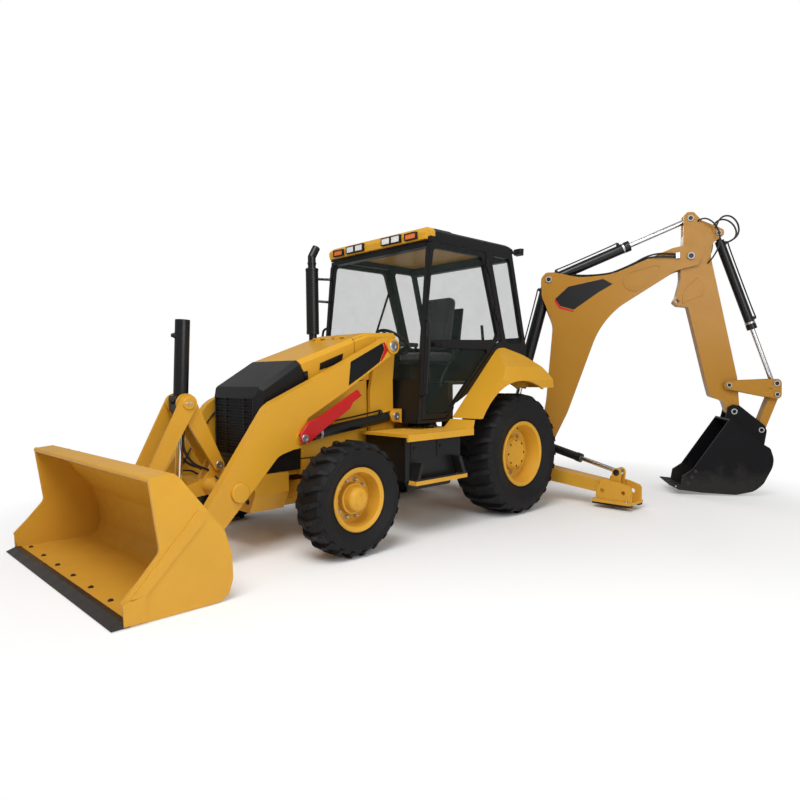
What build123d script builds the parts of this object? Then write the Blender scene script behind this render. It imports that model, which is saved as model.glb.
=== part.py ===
from build123d import *
import os
from math import hypot, radians, tan

# Backhoe loader in millimetres: X forward, Y to the machine's left, Z up.
# The origin is on the ground under the middle of the rear axle.

# Wheels
WHEELBASE = 2200
REAR_R = 620
REAR_W = 490
REAR_TRACK = 1714
REAR_RIM_R = 333
REAR_LUGS = 24
FRONT_R = 462
FRONT_W = 310
FRONT_TRACK = 1895
FRONT_RIM_R = 256
FRONT_LUGS = 22
KINGPIN_Y = 745

# Body
HOOD_HALF = 386
HOOD_SPLIT_X = 1661
HOOD_HINGE = (1661, 1801)
HOOD_FRONT_X = 2276
HOOD_REAR_Z = 1850
HOOD_FRONT_Z = 1575
HOOD_VENT = ((2058, 1552), (1790, 1644), (1807, 1556), (2066, 1486))
NOSE_X = 2684
NOSE_Z = 1355
CAB_HALF = 750
CAB_WALL = 45
CAB_FLOOR_Z = 985
ROOF_Z = 2740
ROOF_TOP_Z = 2832
FENDER_HALF = 1090
BOX_OUT = 965
VISOR_X = 1074
EXHAUST_TOP_Z = 2735
EXHAUST_Y = -372
HINGE_LOW = (-37, 1894)

# Loader pins, as (x, z)
ARM_PIVOT = (1330, 1710)
LIFT_BASE = (1310, 1055)
LIFT_ROD_PIN = (2372, 927)
LEVER_FOOT = (2888, 720)
APEX = (3154, 1234)
TILT_ROD_PIN = (3190, 510)
LINK_FOOT = (3480, 630)
BUCKET_PIN = (3275, 235)
CROSS_TUBE = (2949, 549)
ARM_IN = 447
ARM_OUT = 537
BUCKET_HALF = 1190

# Backhoe pins, as (distance behind the swing axis, z), with the arm straight back
SWING_X = -1240
SWING_DEG = 56
BOOM_FOOT = (450, 600)
HEEL_PIN = (483, 2602)
BOOM_ROD_PIN = (60, 1010)
STICK_PIN = (2121, 2813)
STICK_ROD_PIN = (2124, 3264)
CURL_BASE = (2433, 3072)
ROCKER_PIN = (2545, 1283)
CURL_ROD_PIN = (3055, 1300)
LINK_PIN = (3058, 1172)
HOE_PIN = (2613, 971)
HOE_LINK_PIN = (2908, 755)
BOOM_HALF = 115
STICK_HALF = 78
ROCKER_IN = 119
ROCKER_OUT = 141
HOE_HALF = 300

# Stabilizers, as (y, z) in the plane of the legs
LEG_X = -935
LEG_HALF = 100
LEG_PIVOT = (360, 345)
LEG_FOOT = (1610, 205)
LEG_ROD_PIN = (1640, 385)
LEG_BASE = (400, 690)
PAD_Z = 62

FRAME_END = LEG_X + LEG_HALF + 29

# Fits
PIN_GAP = 0.3

SEAT = (Align.CENTER, Align.CENTER, Align.MIN)
os.makedirs("parts", exist_ok=True)


def outline(points):
    """A flat face from (a, b) corners; a third value is the radius of a rounded corner."""
    face = Polygon(*[p[:2] for p in points], align=None)
    for p in points:
        if len(p) > 2:
            corner = face.vertices().sort_by_distance((p[0], p[1], 0))[0]
            face = fillet(corner, p[2])
    return face


def plate(points, y0, y1):
    """A flat plate from (x, z) corners, standing from y0 to y1 across the machine."""
    return extrude(Plane.XZ.offset(-y1) * outline(points), y1 - y0, dir=(0, -1, 0))


def slab(points, x0, x1):
    """A flat plate from (y, z) corners, standing from x0 to x1 along the machine."""
    return extrude(Plane.YZ.offset(x0) * outline(points), x1 - x0, dir=(1, 0, 0))


def bevel(shape, spots, size):
    """A shape with the edge nearest each given point cut off at a slant."""
    return chamfer([shape.edges().sort_by_distance(spot)[0] for spot in spots], size)


def block(x0, x1, y0, y1, z0, z1):
    """A box between two corners."""
    return Pos((x0 + x1) / 2, (y0 + y1) / 2, (z0 + z1) / 2) * Box(x1 - x0, y1 - y0, z1 - z0)


def bar(a, b, radius):
    """A round bar from point a to point b."""
    a = Vector(*a)
    b = Vector(*b)
    return Plane(origin=a, z_dir=b - a) * Cylinder(radius, (b - a).length, align=SEAT)


def pin(p, y0, y1, radius):
    """A round bar across the machine at the (x, z) point p."""
    return bar((p[0], y0, p[1]), (p[0], y1, p[1]), radius)


def link(p, q, rp, rq, y0, y1):
    """A flat link with round ends about the (x, z) points p and q."""
    ends = (Pos(*p) * Circle(rp)).edges() + (Pos(*q) * Circle(rq)).edges()
    return extrude(Plane.XZ.offset(-y1) * make_hull(ends), y1 - y0, dir=(0, -1, 0))


def strut(p, q, rp, rq, x0, x1):
    """A flat link with round ends about the (y, z) points p and q."""
    ends = (Pos(*p) * Circle(rp)).edges() + (Pos(*q) * Circle(rq)).edges()
    return extrude(Plane.YZ.offset(x0) * make_hull(ends), x1 - x0, dir=(1, 0, 0))


def ears(p, q, rp, rq, inner, outer):
    """Two like links, from inner to outer on each side of the middle plane."""
    return link(p, q, rp, rq, inner, outer) + link(p, q, rp, rq, -outer, -inner)


def both(shape):
    """A shape and its mirror image on the machine's other side."""
    return shape + mirror(shape, Plane.XZ)


def twin(make, y0, y1):
    """Two plates from make(y0, y1), one on each side of the middle plane."""
    return make(y0, y1) + make(-y1, -y0)


def turned(profile, center, mirrored=False):
    """A wheel form: (radius, y) corners turned about the Y axis through center."""
    face = Polygon(*[(r, y) for r, y in profile], align=None)
    body = revolve(Plane.XY * face, Axis.Y)
    if mirrored:
        body = mirror(body, Plane.XZ)
    return Pos(*center) * body


def aft(p):
    """A backhoe point (distance behind the swing axis, z) as (x, z)."""
    return (SWING_X - p[0], *p[1:])


def swung(shape):
    """The backhoe's pieces, drawn straight back, turned to the left as parked."""
    return Pos(SWING_X, 0, 0) * Rot(0, 0, -SWING_DEG) * Pos(-SWING_X, 0, 0) * shape


def along(p, q, d):
    """The (x, z) point at distance d from p towards q."""
    n = hypot(q[0] - p[0], q[1] - p[1])
    return (p[0] + (q[0] - p[0]) * d / n, p[1] + (q[1] - p[1]) * d / n)


def ram(base, eye, y, barrel_r, rod_r, length, start, eye_r, half, pin_r, neck_len=18):
    """A cylinder's barrel and rod between the (x, z) pins base and eye, at y across."""
    neck = along(base, eye, eye_r + neck_len)
    mouth = along(base, eye, length)
    barrel = pin(base, y - half, y + half, eye_r) + bar(at(base, y), at(along(base, eye, eye_r + neck_len + 12), y), half)
    barrel = barrel + bar(at(neck, y), at(mouth, y), barrel_r)
    barrel = barrel + bar(at(along(base, eye, length - 60), y), at(mouth, y), barrel_r + 5)
    hole = along(base, eye, eye_r + neck_len + 22)
    barrel = barrel - bar(at(hole, y), at(along(base, eye, length + 20), y), rod_r + PIN_GAP)
    barrel = barrel - pin(base, y - half - 1, y + half + 1, pin_r + PIN_GAP)
    rod = bar(at(along(base, eye, start), y), at(eye, y), rod_r) + pin(eye, y - half, y + half, eye_r)
    return barrel, rod


def at(p, y):
    """The (x, z) point p at y as (x, y, z)."""
    return (p[0], y, p[1])


def save(name, shape):
    """Write one node's STEP file."""
    shape.label = name
    export_step(shape, "parts/" + name + ".step")


def tyre(radius, width, rim_r, bead, lugs):
    """A tyre about the Y axis in flat-sided sectors, each with one slanted lug on either side."""
    h = width / 2
    base = radius - 36
    edge = [(rim_r - 27, bead), (rim_r + 6, bead), (0.5 * rim_r + 0.5 * radius, h), (base, h - 34)]
    section = edge + [(r, -y) for r, y in reversed(edge)]
    half = 180 / lugs
    reach = radius * tan(radians(half))
    sector = extrude(Polygon(*section, align=None), 2 * reach, both=True, dir=(0, 0, 1))
    wedge = Polygon((0, 0), (2 * radius, 2 * reach), (2 * radius, -2 * reach), align=None)
    sector = sector & extrude(Plane.XZ * wedge, width, both=True)
    lean = reach * 0.4
    wide = reach * 0.36
    shift = reach * 0.16
    near = shift - lean
    far = shift + lean * 0.9
    face = Polygon((6, near - wide), (6, near + wide), (h - 6, far + wide * 0.8), (h - 6, far - wide * 0.8), align=None)
    crown = (radius ** 2 - (far + wide) ** 2) ** 0.5
    lug = extrude(Plane.YZ.offset(base - 16) * face, crown - base + 16, dir=(1, 0, 0))
    slope = [(base - 40, h + 40), (base - 40, h - 2), (base - 16, h - 10), (radius + 4, h - 62), (radius + 40, h + 40)]
    lug = lug - extrude(Polygon(*slope, align=None), 4 * reach, both=True, dir=(0, 0, 1))
    other = mirror(Pos(0, 0, -2 * shift) * lug, Plane.XZ)
    sector = sector + lug + other
    ring = [Rot(0, 2 * half * i, 0) * sector for i in range(lugs)]
    return ring[0].fuse(*ring[1:])


def wheels():
    """Tyres, rims, knuckles and both axles."""
    rear_bead = 200
    front_bead = 112
    rear = tyre(REAR_R, REAR_W, REAR_RIM_R, rear_bead, REAR_LUGS)
    front = tyre(FRONT_R, FRONT_W, FRONT_RIM_R, front_bead, FRONT_LUGS)
    rear_y = REAR_TRACK / 2
    front_y = FRONT_TRACK / 2
    save("tyre_rear_left", Pos(0, rear_y, REAR_R) * rear)
    save("tyre_rear_right", Pos(0, -rear_y, REAR_R) * mirror(rear, Plane.XZ))
    save("tyre_front_left", Pos(WHEELBASE, front_y, FRONT_R) * front)
    save("tyre_front_right", Pos(WHEELBASE, -front_y, FRONT_R) * mirror(front, Plane.XZ))
    seat = REAR_RIM_R - 27 - PIN_GAP
    b = rear_bead + 2
    rear_rim = [(0, 118), (150, 118), (168, 100), (172, 58), (205, 44), (262, 62), (270, 110), (296, b + 8)]
    rear_rim += [(REAR_RIM_R - 12, b + 18), (REAR_RIM_R, b + 12), (REAR_RIM_R, b), (seat, b), (seat, -b)]
    rear_rim += [(REAR_RIM_R, -b), (REAR_RIM_R, -b - 14), (286, -b - 14), (256, -60), (245, 30), (170, 18)]
    rear_rim += [(160, -70), (75 + PIN_GAP, -70), (75 + PIN_GAP, 60), (0, 60)]
    save("wheel_rear_left", turned(rear_rim, (0, rear_y, REAR_R)))
    save("wheel_rear_right", turned(rear_rim, (0, -rear_y, REAR_R), True))
    seat = FRONT_RIM_R - 27 - PIN_GAP
    b = front_bead + 2
    front_rim = [(0, 128), (62, 128), (92, 112), (108, 60), (124, 56), (128, 6), (196, -2), (206, 40), (218, b + 2)]
    front_rim += [(FRONT_RIM_R - 8, b + 16), (FRONT_RIM_R, b + 10), (FRONT_RIM_R, b), (seat, b), (seat, -b)]
    front_rim += [(FRONT_RIM_R, -b), (FRONT_RIM_R, -b - 12), (212, -b - 12), (190, -30), (130, -22), (125, -80)]
    front_rim += [(60 + PIN_GAP, -80), (60 + PIN_GAP, 50), (0, 50)]
    save("wheel_front_left", turned(front_rim, (WHEELBASE, front_y, FRONT_R)))
    save("wheel_front_right", turned(front_rim, (WHEELBASE, -front_y, FRONT_R), True))
    knuckle = block(WHEELBASE - 70, WHEELBASE + 70, KINGPIN_Y - 55, KINGPIN_Y + 75, 362, 562)
    knuckle = knuckle + bar((WHEELBASE, KINGPIN_Y + 60, FRONT_R), (WHEELBASE, front_y - 86, FRONT_R), 105)
    knuckle = knuckle + bar((WHEELBASE, KINGPIN_Y, FRONT_R), (WHEELBASE, front_y + 44, FRONT_R), 60)
    knuckle = knuckle + block(WHEELBASE - 190, WHEELBASE - 60, KINGPIN_Y - 20, KINGPIN_Y + 20, 420, 470)
    knuckle = knuckle - bar((WHEELBASE, KINGPIN_Y, 300), (WHEELBASE, KINGPIN_Y, 640), 28 + PIN_GAP)
    save("knuckle_left", knuckle)
    save("knuckle_right", mirror(knuckle, Plane.XZ))
    fork = block(WHEELBASE - 62, WHEELBASE + 62, KINGPIN_Y - 130, KINGPIN_Y + 50, 568, 606)
    fork = fork + block(WHEELBASE - 62, WHEELBASE + 62, KINGPIN_Y - 130, KINGPIN_Y + 50, 318, 356)
    fork = fork + bar((WHEELBASE, KINGPIN_Y, 300), (WHEELBASE, KINGPIN_Y, 624), 28)
    tube = slab([(200, 520), (600, 606), (648, 606), (648, 318), (600, 318), (200, 372)], WHEELBASE - 75, WHEELBASE + 75)
    middle = bar((WHEELBASE - 170, 0, 455), (WHEELBASE + 170, 0, 455), 62)
    diff = slab([(-200, 360), (-130, 300), (130, 300), (200, 360), (200, 530), (-200, 530)], WHEELBASE - 120, WHEELBASE + 120)
    save("front_axle", both(fork + tube) + diff + middle)
    housing = slab([(-210, 460), (-120, 400), (120, 400), (210, 460), (210, 790), (-210, 790)], -190, 330)
    arm = bar((0, 150, REAR_R), (0, rear_y - 250, REAR_R), 130) + bar((0, rear_y - 260, REAR_R), (0, rear_y - 74, REAR_R), 165)
    arm = arm + bar((0, 400, REAR_R), (0, rear_y + 55, REAR_R), 75)
    seats = block(-110, 110, 320, 430, 640, 765)
    save("rear_axle", housing + both(arm + seats))


def chassis():
    """Main frame with the loader towers, engine, nose and hood."""
    rail = plate([(FRAME_END, 560), (FRAME_END, 800), (1180, 800), (1640, 730), (2278, 730), (2278, 600), (1900, 560), (1200, 540)], 300, 400)
    rail = rail - block(-200, 340, 290, 410, 400, 765)
    tower = plate([(1228, 700), (1228, 1680), (1270, 1790), (1395, 1790), (1440, 1640), (1520, 1300), (1520, 700)], 396, 432)
    tower = tower + pin(ARM_PIVOT, 397, ARM_OUT + 22, 48) + pin(ARM_PIVOT, ARM_OUT + 8, ARM_OUT + 22, 72)
    tower = tower + pin(ARM_PIVOT, 420, ARM_IN - 6, 78)
    foot = link(LIFT_BASE, (1262, 1055), 54, 54, 430, 463) + link(LIFT_BASE, (1262, 1055), 54, 54, 521, 551)
    foot = foot + block(1228, 1250, 430, 551, 990, 1120)
    foot = foot - plate([(1200, 900), (1200, 1200), (1228, 1200), (1228, 900)], 400, 600)
    foot = foot + pin(LIFT_BASE, 440, 562, 32) + pin(LIFT_BASE, 549, 562, 46)
    side = plate([(1520, 740), (1520, 1400), (2270, 1290), (2270, 740)], 366, 384)
    front = slab([(-415, 645), (-415, 480), (-330, 330), (330, 330), (415, 480), (415, 645)], 2420, 2745)
    front = front + block(2200, 2425, -330, 330, 600, 730) - bar((2100, 0, 455), (2500, 0, 455), 62 + PIN_GAP)
    ears = slab([(-110, 340), (-110, 560), (110, 560), (110, 340)], 2330, 2440) - bar((2100, 0, 455), (2500, 0, 455), 62 + PIN_GAP)
    back_ear = slab([(-110, 360), (-110, 735), (110, 735), (110, 360)], 1985, 2055)
    back_ear = back_ear - bar((1900, 0, 455), (2500, 0, 455), 62 + PIN_GAP)
    cross = block(1985, 2055, -310, 310, 590, 730) + block(1180, 1320, -395, 395, 560, 800) + block(FRAME_END, -690, -400, 400, 560, 800)
    belly = block(340, 1500, -190, 190, 430, 700) + block(1180, 1300, -200, 200, 560, 720)
    save("main_frame", both(rail + tower + foot + side) + front + ears + back_ear + cross + belly)
    engine = block(1520, 2250, -230, 230, 745, 1240) + block(1600, 2040, -120, 120, 1230, 1370)
    save("engine_block", engine + block(1560, 1660, -300, 300, 690, 760) + block(2080, 2180, -300, 300, 690, 760))
    sweep = hypot(HOOD_FRONT_X - HOOD_HINGE[0], HOOD_FRONT_Z - HOOD_HINGE[1]) + 9
    shape = [(2282, 645), (2660, 645), (NOSE_X, 740), (NOSE_X, 1270), (2650, NOSE_Z), (2284, HOOD_FRONT_Z)]
    shape += [arc_point(sweep, z) for z in (1540, 1500, 1460, 1420, 1380, 1340)] + [(2282, 1305)]
    nose = plate(shape, -HOOD_HALF, HOOD_HALF)
    nose = chamfer(nose.edges().filter_by(Axis.Z).group_by(Axis.X)[-1], 55)
    nose = bevel(nose, [(2467, HOOD_HALF, 1465), (2467, -HOOD_HALF, 1465)], 38)
    nose = nose - block(NOSE_X - 22, NOSE_X + 10, -305, 305, 780, 1262) - block(2200, 2640, -350, 350, 600, 1240)
    for i in range(9):
        z = 812 + 50 * i
        nose = nose + block(NOSE_X - 24, NOSE_X - 8, -306, 306, z, z + 16)
    nose = nose + both(block(NOSE_X - 24, NOSE_X - 4, 140, 158, 779, 1263))
    nose = nose - plate([(2050, 1290), (2050, 1500), (2262, 1545), (2262, 1290)], -HOOD_HALF + 22, HOOD_HALF - 22)
    save("nose_grille", nose)
    rear_top = [(1182, 1400), (1136, HOOD_REAR_Z), (1500, 1838), (HOOD_SPLIT_X - 4, 1788), (HOOD_SPLIT_X - 4, 1400)]
    tops = [(x, y, z) for x, z in ((1318, 1844), (1590, 1808)) for y in (HOOD_HALF, -HOOD_HALF)]
    cowl = bevel(plate(rear_top, -HOOD_HALF, HOOD_HALF), tops, 38)
    cowl = cowl - plate(inset(rear_top, 24, -60), -HOOD_HALF + 22, HOOD_HALF - 22)
    cowl = cowl - pins(HOOD_HINGE, 118, 182, 14) - bar((1570, EXHAUST_Y, 1700), (1570, EXHAUST_Y, 1900), 41)
    cowl = cowl + hinge_row(HOOD_HINGE, 60, 115, -1) + hinge_row(HOOD_HINGE, 185, 240, -1)
    save("engine_cowl", cowl + pins(HOOD_HINGE, 60, 240, 5))
    front_top = [(HOOD_SPLIT_X + 5, 1400), (HOOD_SPLIT_X + 5, 1785), (1745, 1757), (HOOD_FRONT_X, HOOD_FRONT_Z)]
    sweep = hypot(HOOD_FRONT_X - HOOD_HINGE[0], HOOD_FRONT_Z - HOOD_HINGE[1])
    front_top += [arc_point(sweep, z) for z in (1500, 1420, 1345)]
    tops = [(x, y, z) for x, z in ((2010, 1666), (1700, 1772)) for y in (HOOD_HALF, -HOOD_HALF)]
    hood = bevel(plate(front_top, -HOOD_HALF, HOOD_HALF), tops, 38)
    hollow = [(HOOD_SPLIT_X + 28, 1300), (HOOD_SPLIT_X + 28, 1758), (1745, 1730), (HOOD_FRONT_X - 24, 1556)]
    hollow += [(2300, 1540), (2300, 1200)]
    hood = hood - plate(hollow, -HOOD_HALF + 22, HOOD_HALF - 22)
    vent = plate(HOOD_VENT, HOOD_HALF - 10, HOOD_HALF + 1)
    for i in range(1, 5):
        k = i / 5
        a = between(HOOD_VENT[0], HOOD_VENT[3], k)
        b = between(HOOD_VENT[1], HOOD_VENT[2], k)
        vent = vent - plate([a, b, (b[0], b[1] - 7), (a[0], a[1] - 7)], HOOD_HALF - 11, HOOD_HALF - 2)
    hood = hood - both(vent)
    knuckles = hinge_row(HOOD_HINGE, 120, 180, 1)
    hood = hood - pins(HOOD_HINGE, 55, 245, 14) + knuckles - pins(HOOD_HINGE, 110, 190, 5 + PIN_GAP)
    save("hood", hood)


def between(p, q, k):
    """The point at the share k of the way from p to q."""
    return (p[0] + (q[0] - p[0]) * k, p[1] + (q[1] - p[1]) * k)


def arc_point(radius, z):
    """The (x, z) point at height z on a circle about the hood's hinge."""
    return (HOOD_HINGE[0] + (radius ** 2 - (z - HOOD_HINGE[1]) ** 2) ** 0.5, z)


def inset(points, d, low):
    """The hollow under a cover: its points moved in by d, with the lower ones dropped by low."""
    cx = sum(p[0] for p in points) / len(points)
    top = max(p[1] for p in points)
    return [(x + (d if x < cx else 30), z - d if z > top - 200 else z + low) for x, z in points]


def hinge_row(p, y0, y1, way):
    """Hinge knuckles about the (x, z) point p on both sides of the middle, with tabs on one side."""
    x, z = p
    tab = [(x, z + 8), (x + 30 * way, z - 14), (x + 30 * way, z - 40), (x + 6 * way, z - 40), (x + 6 * way, z - 8), (x, z - 8)]
    return twin(lambda a, b: pin(p, a, b, 10) + plate(tab, a, b), y0, y1)


def pins(p, y0, y1, r):
    """Round bars about the (x, z) point p on both sides of the middle."""
    return twin(lambda a, b: pin(p, a, b, r), y0, y1)


def half_space(y0, z0, y1, z1, drop):
    """The wedge above a slope that falls outward from (y0, z0) to (y1, z1)."""
    z0 = z0 - drop
    z1 = z1 - drop
    rise = (z0 - z1) / (y1 - y0)
    far = y1 + 200
    return slab([(y0 - 300, z0 + 300 * rise), (far, z1 - 200 * rise), (far, 2400), (y0 - 300, 2400)], -900, 1300)


def cab():
    """Cab frame, roof, glass, doors, seat, controls, fenders, steps, boxes, exhaust and lamps."""
    inner = CAB_HALF - CAB_WALL
    wall = [(1212, CAB_FLOOR_Z), (1027, ROOF_Z), (-262, ROOF_Z), (-520, 1730), (-520, 1340), (300, 1340)]
    wall += [(690, 1150), (760, CAB_FLOOR_Z)]
    door = [(1160, 1020), (1026, 2690), (HINGE_LOW[0] + 0.2968 * (2690 - HINGE_LOW[1]), 2690)]
    door += [(HINGE_LOW[0] + 0.2968 * (1800 - HINGE_LOW[1]), 1800), (15, 1778), (828, 1020)]
    gap = [(1168, 1012), (1033, 2698), (door[2][0] - 8, 2698), (door[3][0] - 8, 1790), (10, 1768), (824, 1012)]
    quarter = [(door[2][0] - 95, 2670, 45), (-225, 2670, 45), (-455, 1770, 45), (door[3][0] - 90, 1770, 45)]
    side = plate(wall, inner, CAB_HALF) - plate(gap, inner - 5, CAB_HALF + 5)
    side = side - plate(quarter, inner - 5, CAB_HALF + 5)
    top_front = plate([(1036, 2650), (1027, ROOF_Z), (940, ROOF_Z), (949, 2650)], -inner, inner)
    low_front = plate([(1212, CAB_FLOOR_Z), (1168, 1400), (1128, 1400), (1172, CAB_FLOOR_Z)], -inner, inner)
    top_rear = plate([(-285, 2650), (-262, ROOF_Z), (-180, ROOF_Z), (-203, 2650)], -inner, inner)
    low_rear = plate([(-520, 1340), (-520, 1730), (-490, 1840), (-450, 1840), (-475, 1730), (-475, 1340)], -inner, inner)
    floor = block(720, 1190, -inner, inner, CAB_FLOOR_Z, 1012) + block(700, 735, -inner, inner, CAB_FLOOR_Z, 1365)
    floor = floor + block(-500, 735, -inner, inner, 1340, 1365)
    mount = block(760, 900, 300, 400, 800, CAB_FLOOR_Z + 5) + block(-480, -380, 300, 400, 800, 1345)
    side = side - hinge_bits(door, 2)[0]
    hinge = hinge_bits(door, 1)
    save("cab_frame", both(side + mount + hinge[0]) + top_front + low_front + top_rear + low_rear + floor)
    roof = [(1034, ROOF_Z), (1034, 2716), (1062, 2716, 8), (VISOR_X, 2786, 30), (1020, ROOF_TOP_Z + 4, 30)]
    roof += [(700, ROOF_TOP_Z + 4), (660, ROOF_TOP_Z - 8), (-190, 2820, 40), (-310, 2785, 20), (-310, ROOF_Z)]
    roof = plate(roof, -728, 728)
    roof = roof & slab([(-728, 2650), (-728, 2804), (-694, 2845), (694, 2845), (728, 2804), (728, 2650)], -400, 1200)
    save("cab_roof", roof)
    screen = plate([(1158, 1405), (1026, 2645), (1019, 2645), (1151, 1405)], -inner, inner)
    back = plate([(-480, 1845), (-285, 2645), (-278, 2645), (-473, 1845)], -inner, inner)
    small = plate(quarter, CAB_HALF - 28, CAB_HALF - 22)
    save("cab_glass", screen + back + both(small))
    leaf = plate(door, inner + 2, CAB_HALF - 2)
    upper = [(1096, 1770, 50), (976, 2640, 60), (door[2][0] + 50, 2640, 60), (door[3][0] + 62, 1850, 40), (30, 1800, 40)]
    lower = [(1115, 1065, 45), (1066, 1700, 45), (128, 1700, 30), (806, 1065, 45)]
    leaf = leaf - plate(upper, inner, CAB_HALF) - plate(lower, inner, CAB_HALF)
    leaf = leaf + block(880, 1010, CAB_HALF - 3, CAB_HALF + 18, 1708, 1744)
    leaf = leaf - hinge_bits(door, 2)[0] + hinge_bits(door, 0)[0] - hinge_bits(door, 3)[0]
    panes = plate(upper, CAB_HALF - 28, CAB_HALF - 22) + plate(lower, CAB_HALF - 28, CAB_HALF - 22)
    save("door_left", leaf)
    save("door_right", mirror(leaf, Plane.XZ))
    save("door_left_glass", panes)
    save("door_right_glass", mirror(panes, Plane.XZ))
    seat = block(60, 560, -250, 250, 1560, 1690) + plate([(60, 1560), (180, 1560), (40, 2330), (-60, 2330)], -235, 235)
    seat = seat + block(180, 420, -160, 160, 1365, 1570)
    save("operator_seat", seat + both(block(150, 480, 262, 325, 1760, 1810) + block(150, 200, 250, 300, 1640, 1770)))
    dash = plate([(1000, 1012), (1000, 1700), (1060, 1760), (1105, 1700), (1150, 1405), (1185, 1012)], -270, 270)
    dash = dash - plate([(1128, 1395), (1128, 1420), (1200, 1420), (1200, 1000), (1165, 1000)], -280, 280)
    column = bar((1015, 0, 1560), (824, 0, 1781), 28)
    rim = Plane(origin=(820, 0, 1785), z_dir=(-0.65, 0, 0.76)) * (Torus(185, 16) + Box(370, 30, 14) + Cylinder(45, 40))
    console = both(block(-330, -180, 300, 420, 1365, 1800) + bar((-250, 360, 1790), (-225, 360, 1990), 16))
    save("controls", dash + column + rim + console)
    shape = [(745, 1005), (8, 1712, 160), (-120, 1722), (-330, 1640, 200), (-520, 1420, 150), (-540, 1300)]
    shape += [(-540, 1240), (600, 900)]
    fender = plate(shape, CAB_HALF, FENDER_HALF)
    hollow = inside(shape, 26, CAB_HALF + 24, FENDER_HALF - 26)
    for slope in ((CAB_HALF, 1720, FENDER_HALF, 1450), (1000, 1530, FENDER_HALF, 1372)):
        fender = fender - half_space(*slope, 0)
        hollow = hollow - half_space(*slope, 30)
    fender = fender - hollow
    arch = pin((30, 600), CAB_HALF - 10, FENDER_HALF + 10, 770)
    low = plate([(900, 1018), (900, 850), (-700, 850), (-700, 1290), (-350, 1290), (-200, 1018)], 700, 1200)
    save("rear_fenders", both(fender - arch - low))
    deck = block(770, 1640, 432, 1055, 905, 930) + block(770, 1640, 1035, 1055, 870, 910)
    apron = plate([(771, 925), (866, 925), (762, 1008), (748, 1008)], CAB_HALF + 4, 1050)
    rung = block(876, 1556, BOX_OUT + 20, 1060, 484, 498) + block(876, 1556, 1046, 1060, 484, 534)
    rung = rung + plate([(876, 484), (906, 484), (990, 655), (990, 690), (955, 690)], BOX_OUT, 1060)
    rung = rung + plate([(1556, 484), (1526, 484), (1462, 640), (1462, 670), (1492, 670)], BOX_OUT, 1060)
    save("side_steps", both(deck + apron + rung))
    box = bevel(block(841, 1570, 432, BOX_OUT, 514, 905), [(841, BOX_OUT, 700), (1570, BOX_OUT, 700)], 24)
    skid = plate([(930, 515), (985, 424, 20), (1500, 424, 20), (1545, 515)], BOX_OUT - 70, BOX_OUT - 30)
    save("side_boxes", both(box + skid))
    bend = (1570, EXHAUST_Y, EXHAUST_TOP_Z - 100)
    stack = bar((1570, EXHAUST_Y, 1760), bend, 40)
    guard = bar((1570, EXHAUST_Y, 1860), (1570, EXHAUST_Y, 2520), 62)
    tip = Pos(*bend) * Sphere(40) + bar(bend, (1512, EXHAUST_Y, EXHAUST_TOP_Z), 40)
    tip = tip - bar(bend, (1490, EXHAUST_Y, EXHAUST_TOP_Z + 38), 36)
    arm = bar((1560, EXHAUST_Y - 20, 2420), (1045, -CAB_HALF + 25, 2500), 14) + bar((1560, EXHAUST_Y - 20, 2200), (1075, -CAB_HALF + 25, 2250), 14)
    stack = stack + guard + tip + arm
    save("exhaust_stack", stack - both(plate(wall, inner, CAB_HALF)))
    work = block(1050, 1094, 150, 262, 2738, 2796) + block(1050, 1094, 288, 400, 2738, 2796)
    work = work + block(1050, 1090, 480, 620, 2736, 2786) - roof
    rear_lamp = block(-345, -310, 420, 520, 2745, 2785)
    save("lamps", both(work + rear_lamp))


def inside(points, d, y0, y1):
    """The inside of a plate's outline, moved in by d, standing from y0 to y1."""
    face = offset(outline(points), -d, kind=Kind.INTERSECTION)
    return extrude(Plane.XZ.offset(-y1) * face, y1 - y0, dir=(0, -1, 0))


def hinge_bits(door, what):
    """Door hinge on its slanted post: 0 door knuckles, 1 post knuckles, 2 relief, 3 bore."""
    u = Vector(0.2968, 0, 1).normalized()
    foot = Vector(HINGE_LOW[0], CAB_HALF + 2, HINGE_LOW[1])
    bits = []
    for d in (120, 620):
        spans = {0: [(d + 48, d + 92)], 1: [(d, d + 40), (d + 100, d + 140)], 2: [(d - 5, d + 145)], 3: [(d - 1, d + 141)]}
        r = {0: 13, 1: 13, 2: 17, 3: 6 + PIN_GAP}[what]
        for a, b in spans[what]:
            bits.append(bar(tuple(foot + u * a), tuple(foot + u * b), r))
        if what == 1:
            bits.append(bar(tuple(foot + u * d), tuple(foot + u * (d + 140)), 6))
            for a, b in spans[1]:
                p = foot + u * a
                q = foot + u * b
                bits.append(plate([(p.X - 25, p.Z), (p.X, p.Z), (q.X, q.Z), (q.X - 25, q.Z)], CAB_HALF - 12, CAB_HALF + 10))
        if what == 0:
            for a, b in spans[0]:
                p = foot + u * a
                q = foot + u * b
                bits.append(plate([(p.X, p.Z), (p.X + 40, p.Z), (q.X + 40, q.Z), (q.X, q.Z)], CAB_HALF - 12, CAB_HALF + 10))
    body = bits[0]
    for bit in bits[1:]:
        body = body + bit
    return [body]


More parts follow.
